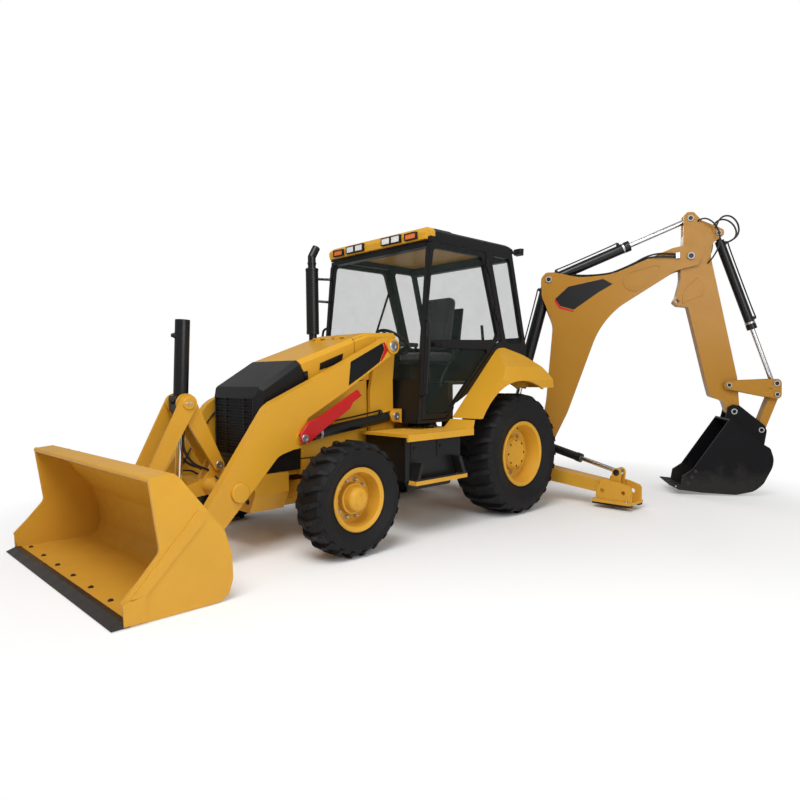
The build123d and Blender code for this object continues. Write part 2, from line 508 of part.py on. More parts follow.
def loader():
    """Loader arms, their cylinders, the tilt linkage and the bucket."""
    mid = (ARM_IN + ARM_OUT) / 2
    arm = [(1255, 1735, 40), (1300, 1792, 40), (1372, 1795, 60), (2080, 1475), (2640, 1232, 120), (2700, 1190, 120)]
    arm += [(3068, 672), (3330, 305, 60), (3352, 225, 50), (3305, 160, 40), (3235, 158, 40), (3150, 225)]
    arm += [(2774, 609), (2591, 801, 150), (2455, 838), (2345, 850, 30), (2314, 925), (2310, 1085, 30)]
    arm += [(1900, 1300), (1420, 1580), (1280, 1650, 40)]
    body = plate(arm, ARM_IN, ARM_OUT) - pin(ARM_PIVOT, ARM_IN - 5, ARM_OUT + 5, 48 + PIN_GAP)
    slot = plate([(2150, 700), (2150, 1150), (2340, 1110), (2470, 1060), (2512, 960), (2512, 700)], mid - 29, mid + 29)
    body = body - slot - pin(BUCKET_PIN, ARM_IN - 5, ARM_OUT + 5, 32 + PIN_GAP)
    body = body + pin(LIFT_ROD_PIN, ARM_OUT - 2, ARM_OUT + 14, 50) + pin(CROSS_TUBE, ARM_OUT - 2, ARM_OUT + 10, 78)
    arms = both(body) + pin(CROSS_TUBE, -ARM_IN - 10, ARM_IN + 10, 70)
    arms = arms + ears(CROSS_TUBE, LEVER_FOOT, 66, 46, 30, 73) + pin(LEVER_FOOT, -112, 112, 32)
    arms = arms + ears(CROSS_TUBE, TILT_ROD_PIN, 66, 44, 42, 70)
    save("loader_arms", arms)
    barrel, rod = ram(LIFT_BASE, LIFT_ROD_PIN, mid, 48, 28, 930, 105, 46, 22, 32, 10)
    save("lift_barrels", both(barrel))
    save("lift_rods", both(rod))
    lever = ears(LEVER_FOOT, APEX, 46, 78, 80, 110) - pin(LEVER_FOOT, -120, 120, 32 + PIN_GAP)
    save("tilt_levers", lever - pin(APEX, -120, 120, 36 + PIN_GAP))
    top = along(TILT_ROD_PIN, APEX, 1390)
    gland = along(TILT_ROD_PIN, APEX, 613)
    barrel = bar(at(gland, 0), at(top, 0), 58) + block(APEX[0] - 66, APEX[0] + 66, -70, 70, APEX[1] - 60, APEX[1] + 60)
    barrel = barrel + pin(APEX, -112, 112, 36)
    barrel = barrel - bar(at(along(TILT_ROD_PIN, APEX, 560), 0), at(along(TILT_ROD_PIN, APEX, 1378), 0), 30 + PIN_GAP)
    save("tilt_barrel", barrel)
    rod = bar(at(TILT_ROD_PIN, 0), at(along(TILT_ROD_PIN, APEX, 803), 0), 30) + pin(TILT_ROD_PIN, -35, 35, 42)
    save("tilt_rod", rod)
    links = ears(APEX, LINK_FOOT, 70, 50, 118, 143) - pin(LINK_FOOT, -150, 150, 30 + PIN_GAP)
    save("tilt_links", links)
    shell = [(4040, 6), (3470, 6, 80), (3410, 46, 50), (3380, 140, 80), (3385, 290, 150), (3430, 452, 80)]
    shell += [(3722, 830, 30), (3762, 864, 25), (3900, 852), (3912, 822)]
    space = [(4300, 30), (3480, 30, 70), (3430, 62, 40), (3404, 145, 70), (3409, 285, 150), (3452, 440, 80)]
    space += [(3742, 812, 20), (3772, 834), (4300, 790)]
    wall = shell + [(3855, 400, 60), (3985, 255), (4090, 150), (4066, 36), (4040, 36)]
    bucket = plate(shell, -BUCKET_HALF, BUCKET_HALF) - plate(space, -BUCKET_HALF - 5, BUCKET_HALF + 5)
    bucket = bucket + both(plate(wall, BUCKET_HALF - 24, BUCKET_HALF)) + pin((3896, 836), -BUCKET_HALF, BUCKET_HALF, 20)
    strip = plate([(4038, 161), (3617, 611), (3564, 551), (3949, 163)], BUCKET_HALF - 2, BUCKET_HALF + 8)
    corner = plate([(4083, 148), (3949, 168), (3948, 18), (4079, 15)], BUCKET_HALF, BUCKET_HALF + 10)
    bucket = bucket + both(strip + corner)
    hang = [(3215, 235), (3240, 170), (3300, 160), (3400, 110), (3440, 300), (3480, 500), (3420, 480), (3240, 300)]
    bucket = bucket + both(plate(hang, 404, 440) + plate(hang, 544, 580) + pin(BUCKET_PIN, 404, 590, 32))
    top_ear = [(3428, 630), (3455, 682), (3510, 684), (3640, 745), (3640, 735), (3445, 465)]
    bucket = bucket + both(plate(top_ear, 84, 111) + plate(top_ear, 150, 176) + pin(LINK_FOOT, 84, 182, 30))
    save("loader_bucket", bucket - plate(space, -BUCKET_HALF + 24, BUCKET_HALF - 24))
    save("bucket_edge", plate([(4148, 6), (4040, 6), (4040, 34), (4075, 34)], -BUCKET_HALF, BUCKET_HALF))


def backhoe():
    """Rear frame, swing post, boom, stick, bucket and their cylinders."""
    lug = block(SWING_X, -1040, -105, 105, 760, 815) + bar((SWING_X, 0, 760), (SWING_X, 0, 815), 105)
    lug = lug + block(SWING_X, -1040, -105, 105, 370, 430) + bar((SWING_X, 0, 370), (SWING_X, 0, 430), 105)
    lug = lug + bar((SWING_X, 0, 370), (SWING_X, 0, 822), 45)
    core = block(-1050, -815, -250, 250, 330, 1000)
    cheek = [(0, 300), (0, 1000), (380, 1000), (475, 760), (475, 620), (445, 500), (445, 300), (400, 262), (280, 262)]
    front = LEG_X + LEG_HALF + 7
    back = LEG_X - LEG_HALF - 7
    sides = both(slab(cheek, front, front + 22) + slab(cheek, back - 22, back))
    cross = both(bar((back - 22, *LEG_PIVOT), (front + 22, *LEG_PIVOT), 36) + bar((back - 22, *LEG_BASE), (front + 22, *LEG_BASE), 26))
    fill = both(slab([(0, 500), (240, 500), (240, 1000), (0, 1000)], back - 2, front + 2))
    save("backhoe_frame", lug + core + sides + cross + fill)
    post = bar((SWING_X, 0, 437), (SWING_X, 0, 753), 92)
    post = post + plate([aft(p) for p in [(20, 440), (20, 750), (122, 750), (122, 960), (250, 880), (300, 760), (300, 440)]], -110, 110)
    post = post + plate([aft(p) for p in [(130, 450), (130, 740), (305, 740), (305, 450)]], -152, 152)
    bracket = [aft(p) for p in [(-5, 836), (-5, 1040), (35, 1072), (95, 1068), (250, 900), (250, 836)]]
    post = post + plate(bracket, 37, 72) + plate(bracket, -72, -37)
    post = post + ears(aft((225, 590)), aft(BOOM_FOOT), 110, 84, 122, 152) + pin(aft(BOOM_FOOT), -160, 160, 40)
    post = post - bar((SWING_X, 0, 430), (SWING_X, 0, 830), 45 + PIN_GAP)
    post = post - block(SWING_X - 112, SWING_X + 200, -200, 200, 753, 822)
    post = post - block(SWING_X - 320, SWING_X + 200, -37, 37, 880, 1200)
    save("swing_post", swung(post))
    boom = [(366, 590, 40), (455, 1105, 1500), (538, 2040, 300), (400, 2400, 200), (392, 2620, 60), (450, 2690, 50)]
    boom += [(545, 2690, 150), (860, 2612, 600), (1236, 2635, 700), (1920, 2917, 200), (2060, 2942, 150)]
    boom += [(2190, 2928, 70), (2250, 2820, 70), (2205, 2705, 50), (1966, 2653, 300), (1128, 2126, 1000)]
    boom += [(710, 956, 600), (560, 640), (530, 555, 40), (470, 515, 30), (410, 522, 30)]
    body = plate([aft(p) for p in boom], -BOOM_HALF, BOOM_HALF)
    heel = [aft(p) for p in [(200, 1950), (485, 2080), (530, 2300), (640, 2500), (760, 2560), (760, 2800), (200, 2800)]]
    tip = [aft(p) for p in [(1540, 3100), (1540, 2660), (1800, 2600), (1900, 2500), (2400, 2500), (2400, 3100)]]
    body = body - plate(heel, -82, 82) - plate(tip, -85, 85)
    body = body + pin(aft(HEEL_PIN), -BOOM_HALF - 10, BOOM_HALF + 10, 40) + pin(aft(STICK_PIN), -BOOM_HALF - 14, BOOM_HALF + 14, 42)
    tear = [ears(aft((1488, 2556)), aft((1740, 2690)), r, r - 70, BOOM_HALF - 2, BOOM_HALF + 8) for r in (130, 100)]
    body = body + (tear[0] - tear[1])
    save("boom", swung(body - pin(aft(BOOM_FOOT), -130, 130, 40 + PIN_GAP)))
    base = aft(HEEL_PIN)
    barrel, rod = ram(base, aft(BOOM_ROD_PIN), 0, 72, 36, 1380, 500, 58, 30, 40)
    barrel = barrel - pin(base, -100, 100, 75)
    fork = ears(base, along(base, aft(BOOM_ROD_PIN), 190), 58, 60, 33, 70)
    barrel = barrel + fork - pin(base, -100, 100, 40 + PIN_GAP)
    barrel = barrel - pin(base, -31, 31, 80)
    save("boom_barrel", swung(barrel))
    save("boom_rod", swung(rod))
    barrel, rod = ram(base, aft(STICK_ROD_PIN), 0, 60, 30, 1040, 840, 56, 26, 40)
    save("stick_barrel", swung(barrel))
    save("stick_rod", swung(rod))
    stick = [(2050, 3300, 30), (2090, 3338, 30), (2160, 3336, 40), (2250, 3230, 100), (2420, 3150), (2490, 3110, 25)]
    stick += [(2494, 3050, 25), (2370, 2960, 60), (2350, 2802, 200), (2650, 1371, 300), (2665, 1180), (2682, 960, 40)]
    stick += [(2640, 905, 30), (2590, 905, 30), (2545, 950, 60), (2500, 1095, 40), (2356, 1146, 40), (2310, 1325)]
    stick += [(2103, 2220, 25), (1990, 2235, 25), (1938, 2280, 25), (1975, 2350, 60), (2020, 2544, 300)]
    stick += [(2010, 2813, 300), (2045, 2950)]
    body = plate([aft(p) for p in stick], -STICK_HALF, STICK_HALF)
    rod_slot = [aft(p) for p in [(2300, 3400), (2300, 3290), (2215, 3165), (2100, 3080), (1850, 2980), (1850, 3400)]]
    base_slot = [aft(p) for p in [(2360, 3200), (2360, 3060), (2400, 2990), (2600, 2940), (2600, 3200)]]
    body = body - plate(rod_slot, -37, 37) - plate(base_slot, -37, 37) - pin(aft(STICK_PIN), -90, 90, 42 + PIN_GAP)
    body = body + pin(aft(CURL_BASE), -STICK_HALF - 8, STICK_HALF + 8, 32) + pin(aft(ROCKER_PIN), -ROCKER_OUT - 4, ROCKER_OUT + 4, 32)
    body = body - pin(aft(HOE_PIN), -90, 90, 36 + PIN_GAP) - pin(aft((1985, 2290)), -90, 90, 22)
    save("stick", swung(body))
    barrel, rod = ram(aft(CURL_BASE), aft(CURL_ROD_PIN), 0, 52, 27, 1200, 750, 48, 30, 32, 36)
    save("curl_barrel", swung(barrel))
    save("curl_rod", swung(rod))
    rocker = ears(aft(ROCKER_PIN), aft(CURL_ROD_PIN), 50, 52, ROCKER_IN, ROCKER_OUT)
    rocker = rocker + ears(aft(ROCKER_PIN), aft(LINK_PIN), 50, 50, ROCKER_IN, ROCKER_OUT)
    rocker = rocker + ears(aft(CURL_ROD_PIN), aft(LINK_PIN), 52, 50, ROCKER_IN, ROCKER_OUT)
    rocker = rocker + pins(aft(LINK_PIN), 40, ROCKER_OUT + 4, 30) + pin(aft(LINK_PIN), -45, 45, 16)
    save("rocker", swung(rocker - pin(aft(ROCKER_PIN), -200, 200, 32 + PIN_GAP)))
    tie = link(aft(LINK_PIN), aft(HOE_LINK_PIN), 48, 46, -77, 77) - pin(aft(LINK_PIN), -80, 80, 30 + PIN_GAP)
    save("hoe_link", swung(tie - pin(aft(LINK_PIN), -36, 36, 66)))
    shell = [(1960, 60), (2221, 30), (2585, 14, 200), (2780, 60, 200), (2876, 146, 200), (2972, 350, 200)]
    shell += [(2980, 444, 150), (2945, 560, 60), (2880, 600), (2515, 895)]
    space = [(1700, 92), (2221, 54), (2580, 38, 180), (2768, 82, 180), (2858, 162, 180), (2949, 358, 150)]
    space += [(2955, 440, 100), (2925, 545, 40), (2868, 578), (2400, 960)]
    bucket = plate([aft(p) for p in shell], -HOE_HALF, HOE_HALF) - plate([aft(p) for p in space], -HOE_HALF + 22, HOE_HALF - 22)
    cutter = [aft(p) for p in [(1990, 90), (2090, 90), (2240, 330), (2150, 320), (2012, 222)]]
    bucket = bucket + plate(cutter, HOE_HALF - 26, HOE_HALF) + plate(cutter, -HOE_HALF, 26 - HOE_HALF)
    lip = [aft(p) for p in [(1965, 58), (2000, 58), (2000, 100), (1965, 100)]]
    bucket = bucket + plate(lip, -HOE_HALF, HOE_HALF)
    tooth = [aft(p) for p in [(1860, 112), (1985, 52), (1985, 112), (1870, 122)]]
    for i in range(5):
        y = -HOE_HALF + 35 + i * (2 * HOE_HALF - 70) / 4
        bucket = bucket + plate(tooth, y - 32, y + 32)
    ear = [aft(p) for p in [(2530, 940), (2545, 1020), (2600, 1052), (2670, 1040), (2945, 805), (2965, 745), (2940, 580), (2880, 592), (2515, 885)]]
    bucket = bucket + plate(ear, 86, 112) + plate(ear, -112, -86) + pin(aft(HOE_PIN), -114, 114, 36)
    save("hoe_bucket", swung(bucket))


def stabilizers():
    """Legs with their pads, and their cylinders."""
    x0 = LEG_X - LEG_HALF
    x1 = LEG_X + LEG_HALF
    leg = strut(LEG_PIVOT, LEG_FOOT, 76, 62, x0, x1) - bar((x0 - 5, *LEG_PIVOT), (x1 + 5, *LEG_PIVOT), 36 + PIN_GAP)
    leg = leg + strut(LEG_FOOT, LEG_ROD_PIN, 62, 46, LEG_X - 62, LEG_X - 34) + strut(LEG_FOOT, LEG_ROD_PIN, 62, 46, LEG_X + 34, LEG_X + 62)
    pad = slab([(1400, PAD_Z), (1400, PAD_Z + 30), (1470, PAD_Z + 34), (1760, PAD_Z + 34), (1835, PAD_Z + 30), (1835, PAD_Z)],
               LEG_X - 148, LEG_X + 148)
    rib = [(1430, PAD_Z + 20), (1452, 240, 20), (1490, 262, 20), (1474, 330, 26), (1600, 300), (1700, 290, 60)]
    rib += [(1835, 250, 40), (1835, PAD_Z + 20)]
    leg = leg + pad + slab(rib, x0 - 24, x0) + slab(rib, x1, x1 + 24)
    for y in (1510, 1745):
        leg = leg - bar((x0 - 30, y, 185), (x0, y, 185), 24) - bar((x1, y, 185), (x1 + 30, y, 185), 24)
    save("leg_left", leg)
    save("leg_right", mirror(leg, Plane.XZ))
    barrel, rod = ram(LEG_BASE, LEG_ROD_PIN, -LEG_X, 46, 25, 820, 740, 42, 26, 26)
    barrel = Rot(0, 0, 90) * barrel
    rod = Rot(0, 0, 90) * rod
    save("leg_barrel_left", barrel)
    save("leg_barrel_right", mirror(barrel, Plane.XZ))
    save("leg_rod_left", rod)
    save("leg_rod_right", mirror(rod, Plane.XZ))


wheels()
chassis()
cab()
loader()
backhoe()
stabilizers()
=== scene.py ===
"""Looks of a backhoe loader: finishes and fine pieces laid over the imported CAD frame."""

import math

import bmesh
import bpy
from mathutils import Matrix, Vector


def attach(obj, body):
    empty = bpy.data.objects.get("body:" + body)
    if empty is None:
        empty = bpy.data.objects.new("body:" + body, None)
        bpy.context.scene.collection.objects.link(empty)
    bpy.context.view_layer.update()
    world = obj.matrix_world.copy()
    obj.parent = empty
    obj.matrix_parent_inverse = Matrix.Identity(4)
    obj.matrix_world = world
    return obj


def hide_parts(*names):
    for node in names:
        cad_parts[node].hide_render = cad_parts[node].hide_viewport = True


bl_info = {
    "name": "Backhoe Loader Looks",
    "version": (1, 0, 0),
    "blender": (4, 5, 0),
    "location": "3D View > Sidebar > Loader",
    "description": "Paint, rubber, glass and fine pieces for a backhoe loader",
    "category": "Object",
}

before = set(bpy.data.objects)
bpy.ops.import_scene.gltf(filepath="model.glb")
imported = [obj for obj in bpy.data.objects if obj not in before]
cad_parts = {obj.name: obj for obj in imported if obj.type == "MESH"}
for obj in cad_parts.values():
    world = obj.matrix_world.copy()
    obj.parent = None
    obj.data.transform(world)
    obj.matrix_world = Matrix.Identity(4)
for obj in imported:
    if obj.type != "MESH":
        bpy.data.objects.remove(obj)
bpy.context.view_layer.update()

# Places on the CAD part in millimetres, X forward, Y left, Z up
MM = 0.001
SWING_X = -1240
SWING_TURN = math.radians(56)
SWING = Vector((SWING_X * MM, 0.0, 0.0))
HOE = Matrix.Translation(SWING) @ Matrix.Rotation(-SWING_TURN, 4, "Z") @ Matrix.Translation(-SWING)
REAR_HUB = (0, 857, 620)
FRONT_HUB = (2200, 947.5, 462)
SIDES = ((1, "left"), (-1, "right"))

# Pins of the loader, (x, z)
ARM_PIN = (1330, 1710)
LIFT_BASE = (1310, 1055)
LIFT_EYE = (2372, 927)
CROSS_TUBE = (2949, 549)
LEVER_FOOT = (2888, 720)
TILT_APEX = (3154, 1234)
TILT_EYE = (3190, 510)
BUCKET_PIN = (3275, 235)
LINK_FOOT = (3480, 630)

# Faces that colour panels lie on, out from the middle
ARM_FACE = 536.5
BOOM_FACE = 114.5
PANEL_DEPTH = 2

# Other places: the arm lines across the machine, the exhaust stack (x, y), and the deck's top
ARM_LINE_Y = 441
STACK = (1570, -372)
DECK_TOP = 929.5

# Corners sharper than these are shaded crisp, and rounded off
CRISP_ANGLE = math.radians(38)
ROUND_ANGLE = math.radians(40)

# Seat pads: the cloth's cells, the sewn channels' places as shares of a pad, and their width and depth
PAD_CELL = 0.013
SEAMS = (-0.28, 0.0, 0.28)
SEAM_WIDTH = 0.012
SEAM_DEPTH = 0.008

# Strength of the light from all round, and the white that the camera sees behind the part
SOFT_LIGHT = 0.36
WHITE = (1.0, 1.0, 1.0, 1.0)


def math_node(operation, reflected=False):
    """An operator of a socket that adds one Math node."""
    def operator(self, other=0.0):
        first, second = (other, self) if reflected else (self, other)
        return self.shader.node("ShaderNodeMath", {"operation": operation}, {0: first, 1: second})
    return operator


class Socket:
    """A shader socket that takes part in Python arithmetic."""

    def __init__(self, shader, socket):
        self.shader = shader
        self.socket = socket

    __add__ = __radd__ = math_node("ADD")
    __sub__ = math_node("SUBTRACT")
    __rsub__ = math_node("SUBTRACT", True)
    __mul__ = __rmul__ = math_node("MULTIPLY")
    __truediv__ = math_node("DIVIDE")
    __rtruediv__ = math_node("DIVIDE", True)
    __pow__ = math_node("POWER")
    __rpow__ = math_node("POWER", True)
    __abs__ = math_node("ABSOLUTE")
    __gt__ = math_node("GREATER_THAN")
    __lt__ = math_node("LESS_THAN")


class Shader:
    """The nodes of a new material, or of a world that is given, added one call at a time."""

    def __init__(self, name, owner=None):
        if owner is None:
            owner = bpy.data.materials.new(name)
        owner.use_nodes = True
        self.owner = owner
        self.tree = owner.node_tree
        self.bsdf = self.tree.nodes.get("Principled BSDF")

    def node(self, kind, settings=None, inputs=None, out=0):
        """Add a node, give it its settings, then its values and links; returns the wanted output."""
        made = self.tree.nodes.new(kind)
        for key, value in (settings or {}).items():
            if key == "stops":
                self._stops(made.color_ramp, value)
            else:
                setattr(made, key, value)
        for key, value in (inputs or {}).items():
            if isinstance(value, Socket):
                self.tree.links.new(value.socket, made.inputs[key])
            else:
                made.inputs[key].default_value = value
        return Socket(self, made.outputs[out])

    @staticmethod
    def _stops(ramp, stops):
        while len(ramp.elements) < len(stops):
            ramp.elements.new(1.0)
        for element, (place, value) in zip(ramp.elements, stops):
            element.position = place
            element.color = (value, value, value, 1.0)

    def place(self):
        """The point in the object's own space, in metres."""
        return self.node("ShaderNodeTexCoord", out="Object")

    def noise(self, scale, detail=3.0, rough=0.55, place=None):
        return self.node("ShaderNodeTexNoise", {}, {"Vector": place or self.place(), "Scale": scale,
                                                    "Detail": detail, "Roughness": rough})

    def ramp(self, value, stops):
        return self.node("ShaderNodeValToRGB", {"stops": stops}, {"Fac": value})

    def mix(self, factor, first, second):
        """A colour mix; colours are tuples or sockets."""
        return self.node("ShaderNodeMix", {"data_type": "RGBA"}, {0: factor, 6: first, 7: second}, out=2)

    def vary(self, factor, colour, low, high):
        """One colour, darker or lighter as the factor goes from nought to one."""
        return self.mix(factor, shade(colour, low), shade(colour, high))

    def axis(self, which):
        """One coordinate of the object's own space."""
        return self.node("ShaderNodeSeparateXYZ", {}, {"Vector": self.place()}, out=which)

    def bump(self, height, strength, distance):
        inputs = {"Height": height, "Strength": strength, "Distance": distance}
        self.set(Normal=self.node("ShaderNodeBump", {}, inputs))

    def set(self, **values):
        """Set or link sockets of the surface; spaces in socket names are written as underscores."""
        for key, value in values.items():
            target = self.bsdf.inputs[key.replace("_", " ")]
            if isinstance(value, Socket):
                self.tree.links.new(value.socket, target)
            else:
                target.default_value = value


def rgba(colour):
    return (colour[0], colour[1], colour[2], 1.0)


def shade(colour, factor):
    return (colour[0] * factor, colour[1] * factor, colour[2] * factor, 1.0)


def paint(name, colour, rough=0.36, coat=0.15, dust=0.06, dark=None):
    """Sprayed enamel: slight mottle, orange peel, some dust low down, and black where dark says so."""
    s = Shader(name)
    mottle = s.noise(2.3, 4.0)
    grime = s.ramp(s.noise(9.0, 6.0, 0.65), [(0.45, 0.0), (0.8, 1.0)])
    low = s.ramp(s.axis(2) * 0.4 + s.noise(3.0, 5.0) * 0.35, [(0.18, 1.0), (0.5, 0.0)])
    chips = s.ramp(s.noise(55.0, 8.0, 0.75), [(0.68, 0.0), (0.72, 1.0)])
    base = s.vary(mottle, colour, 0.93, 1.06)
    base = s.mix(grime * dust, base, shade(colour, 0.62))
    base = s.mix(low * (dust * 1.6), base, (0.20, 0.16, 0.11, 1.0))
    base = s.mix(chips * (dust * 1.2), base, (0.10, 0.09, 0.08, 1.0))
    if dark:
        base = s.mix(dark(s), base, (0.008, 0.008, 0.009, 1.0))
    s.set(Base_Color=base, Roughness=grime * 0.16 + low * 0.2 + rough, Coat_Weight=coat, Coat_Roughness=0.2,
          Specular_IOR_Level=0.25)
    s.bump(s.noise(260.0, 2.0) * 0.6 + chips * -0.4, 0.02, 0.001)
    return s.owner


def roof_sides(s):
    """One on the roof's long sides, behind the visor."""
    return (s.axis(0) < 0.93) * (abs(s.axis(1)) > 0.64)


def step_sides(s):
    """One on the steps' upright plates, between the deck and the tread."""
    return (s.axis(2) > 0.52) * (s.axis(2) < 0.87)


def panel(name, colour):
    """Satin black colour panel with a faint gloss."""
    s = Shader(name)
    cloud = s.noise(4.0, 4.0)
    s.set(Base_Color=s.vary(cloud, colour, 0.8, 1.3), Roughness=cloud * 0.1 + 0.26,
          Specular_IOR_Level=0.3)
    s.bump(s.noise(180.0, 2.0), 0.03, 0.001)
    return s.owner


def rubber(name, colour, dust):
    """Tyre rubber: fine grain, dust lying in the grain."""
    s = Shader(name)
    grain = s.noise(140.0, 4.0)
    film = s.ramp(s.noise(5.0, 5.0, 0.6), [(0.35, 0.0), (0.75, 1.0)])
    s.set(Base_Color=s.mix(film * dust, rgba(colour), (0.11, 0.1, 0.09, 1.0)), Roughness=film * 0.1 + 0.6,
          Specular_IOR_Level=0.2)
    s.bump(grain, 0.22, 0.003)
    return s.owner


def hose_rubber(name, colour):
    """Hydraulic hose cover with the wrap's weave showing."""
    s = Shader(name)
    wrap = s.node("ShaderNodeTexWave", {"wave_type": "BANDS", "bands_direction": "DIAGONAL"},
                  {"Vector": s.place(), "Scale": 120.0, "Distortion": 0.6}, out=1)
    film = s.noise(12.0, 4.0)
    s.set(Base_Color=s.vary(film, colour, 0.8, 1.5), Roughness=film * 0.12 + 0.48)
    s.bump(wrap, 0.2, 0.001)
    return s.owner


def plastic(name, colour, rough=0.5, grain=400.0, depth=0.06):
    """Moulded plastic or textured black coating."""
    s = Shader(name)
    cloud = s.noise(6.0, 3.0)
    s.set(Base_Color=s.vary(cloud, colour, 0.85, 1.2),
          Roughness=cloud * 0.12 + (rough - 0.06), Specular_IOR_Level=0.3)
    s.bump(s.noise(grain, 3.0), depth, 0.0005)
    return s.owner


def steel(name, colour, rough, streak):
    """Bare or plated metal with fine grinding marks."""
    s = Shader(name)
    stretch = s.node("ShaderNodeMapping", {}, {"Vector": s.place(), "Scale": (streak, streak, 40.0)})
    marks = s.noise(8.0, 4.0, 0.6, stretch)
    s.set(Base_Color=s.vary(marks, colour, 0.9, 1.08), Metallic=1.0,
          Roughness=marks * 0.12 + rough)
    s.bump(marks, 0.04, 0.001)
    return s.owner


def worn_bucket(name, colour):
    """Digging bucket: black paint rubbed to bare steel towards the lip."""
    s = Shader(name)
    low = s.axis(2)
    rub = s.ramp(s.noise(7.0, 7.0, 0.7) * 0.6 + low * -0.9 + 0.42, [(0.42, 0.0), (0.62, 1.0)])
    fine = s.noise(60.0, 5.0)
    enamel = s.vary(fine, colour, 0.8, 1.5)
    s.set(Base_Color=s.mix(rub * 0.12, enamel, (0.16, 0.14, 0.12, 1.0)), Roughness=rub * 0.15 + 0.3,
          Metallic=rub * 0.1, Specular_IOR_Level=0.1)
    s.bump(fine, 0.04, 0.002)
    return s.owner


def glazing(name, tint, see_through):
    """Tinted pane: mostly see-through, with mirror-like gloss and a thin film of dust."""
    s = Shader(name)
    film = s.ramp(s.noise(7.0, 5.0, 0.6), [(0.3, 0.0), (0.9, 1.0)])
    s.set(Base_Color=s.mix(film, rgba(tint), shade(tint, 1.5)), Roughness=film * 0.03 + 0.01,
          Alpha=film * 0.03 + (1 - see_through), Specular_IOR_Level=0.6)
    s.owner.surface_render_method = "BLENDED"
    return s.owner


def lens(name, colour, ribs, outer=None):
    """Moulded lamp lens with fine ribs; lamps further out than 0.44 m may have a second colour."""
    s = Shader(name)
    wave = s.node("ShaderNodeTexWave", {"wave_type": "BANDS", "bands_direction": "Y"},
                  {"Vector": s.place(), "Scale": ribs, "Distortion": 0.0}, out=1)
    base = s.mix(wave, shade(colour, 0.8), rgba(colour))
    if outer:
        far = (abs(s.axis(1)) > 0.44) * (s.axis(0) > 0.0)
        base = s.mix(far, base, s.mix(wave, shade(outer, 0.8), rgba(outer)))
    s.set(Base_Color=base, Roughness=0.08, Coat_Weight=0.6)
    s.bump(wave, 0.3, 0.004)
    return s.owner


def cloth(name, colour, pitch):
    """Woven seat cover."""
    s = Shader(name)
    weave = s.node("ShaderNodeTexChecker", {}, {"Vector": s.place(), "Scale": pitch}, out=1)
    fuzz = s.noise(30.0, 5.0)
    s.set(Base_Color=s.vary(fuzz, colour, 0.7, 1.4), Roughness=0.9, Sheen_Weight=0.3)
    s.bump(weave * 0.5 + s.noise(320.0, 2.0), 0.35, 0.002)
    return s.owner


def colour_prop(label, note, default):
    return bpy.props.FloatVectorProperty(name=label, description=note, subtype="COLOR", size=3,
                                         min=0.0, max=1.0, default=default)


def length_prop(label, note, default):
    return bpy.props.FloatProperty(name=label, description=note, unit="LENGTH", min=0.0, default=default)


def count_prop(label, note, default):
    return bpy.props.IntProperty(name=label, description=note, min=2, default=default)


def angle_prop(label, note, degrees):
    return bpy.props.FloatProperty(name=label, description=note, subtype="ANGLE",
                                   default=math.radians(degrees))


class LoaderFinish(bpy.types.PropertyGroup):
    """Colours and finishes that a user would change."""

    yellow: colour_prop("Yellow", "Main paint", (0.66, 0.335, 0.024))
    # The backhoe's yellow is the main yellow darkened: painted shade, for the backhoe lying less lit than the
    # loader
    hoe_shaded_yellow: colour_prop("Backhoe shaded yellow", "Yellow of boom, stick and linkage, darkened as painted shade", (0.40, 0.18, 0.008))
    black: colour_prop("Black", "Black enamel of frame, cab and cylinders", (0.006, 0.006, 0.007))
    red: colour_prop("Red", "Safety strut and stripe", (0.52, 0.006, 0.006))
    tyre: colour_prop("Tyre", "Tyre rubber", (0.008, 0.008, 0.009))
    glass: colour_prop("Glass", "Tint of the cab's panes", (0.035, 0.055, 0.047))
    seat: colour_prop("Seat", "Seat cover", (0.035, 0.035, 0.04))
    see_through: bpy.props.FloatProperty(name="Clearness", subtype="FACTOR", min=0.0, max=1.0, default=0.88,
                                         description="Share of light that the panes let through")


class LoaderWheels(bpy.types.PropertyGroup):
    """Counts on the tyres and wheels."""

    rear_lugs: count_prop("Rear lugs", "Tread bars on each side of a rear tyre", 24)
    front_lugs: count_prop("Front lugs", "Tread bars on each side of a front tyre", 22)
    rear_nuts: count_prop("Rear nuts", "Nuts on a rear wheel", 10)
    front_nuts: count_prop("Front nuts", "Nuts on a front wheel", 10)


class LoaderBody(bpy.types.PropertyGroup):
    """Sizes of the body's and the cab's fittings."""

    grille_pitch: length_prop("Grille pitch", "Distance between the wires of the grille", 0.024)
    dimple_pitch: length_prop("Dimple pitch", "Distance between the dimples of the deck", 0.044)
    swell: length_prop("Seat swell", "How far a seat pad may swell", 0.012)
    guard_rows: count_prop("Guard rows", "Rows of holes in the exhaust guard", 24)


class LoaderWork(bpy.types.PropertyGroup):
    """Counts on the working tools."""

    edge_bolts: count_prop("Edge bolts", "Bolts along the loader bucket's cutting edge", 7)


class LoaderStage(bpy.types.PropertyGroup):
    """Floor, light and camera."""

    floor: colour_prop("Floor", "Pale floor", (0.95, 0.95, 0.95))
    eye: bpy.props.FloatVectorProperty(name="Camera place", description="Where the camera stands",
                                       subtype="TRANSLATION", size=3, default=(5.4173, 4.8657, 1.4369))
    heading: angle_prop("Heading", "Camera's heading about Z, from +X", 225.98)
    pitch: angle_prop("Pitch", "Camera's pitch, up from level", -2.218)
    roll: angle_prop("Roll", "Camera's roll", -0.597)
    lens: bpy.props.FloatProperty(name="Lens", description="Focal length for a 36 mm sensor",
                                  subtype="DISTANCE_CAMERA", default=28.58)


MATERIALS = {}

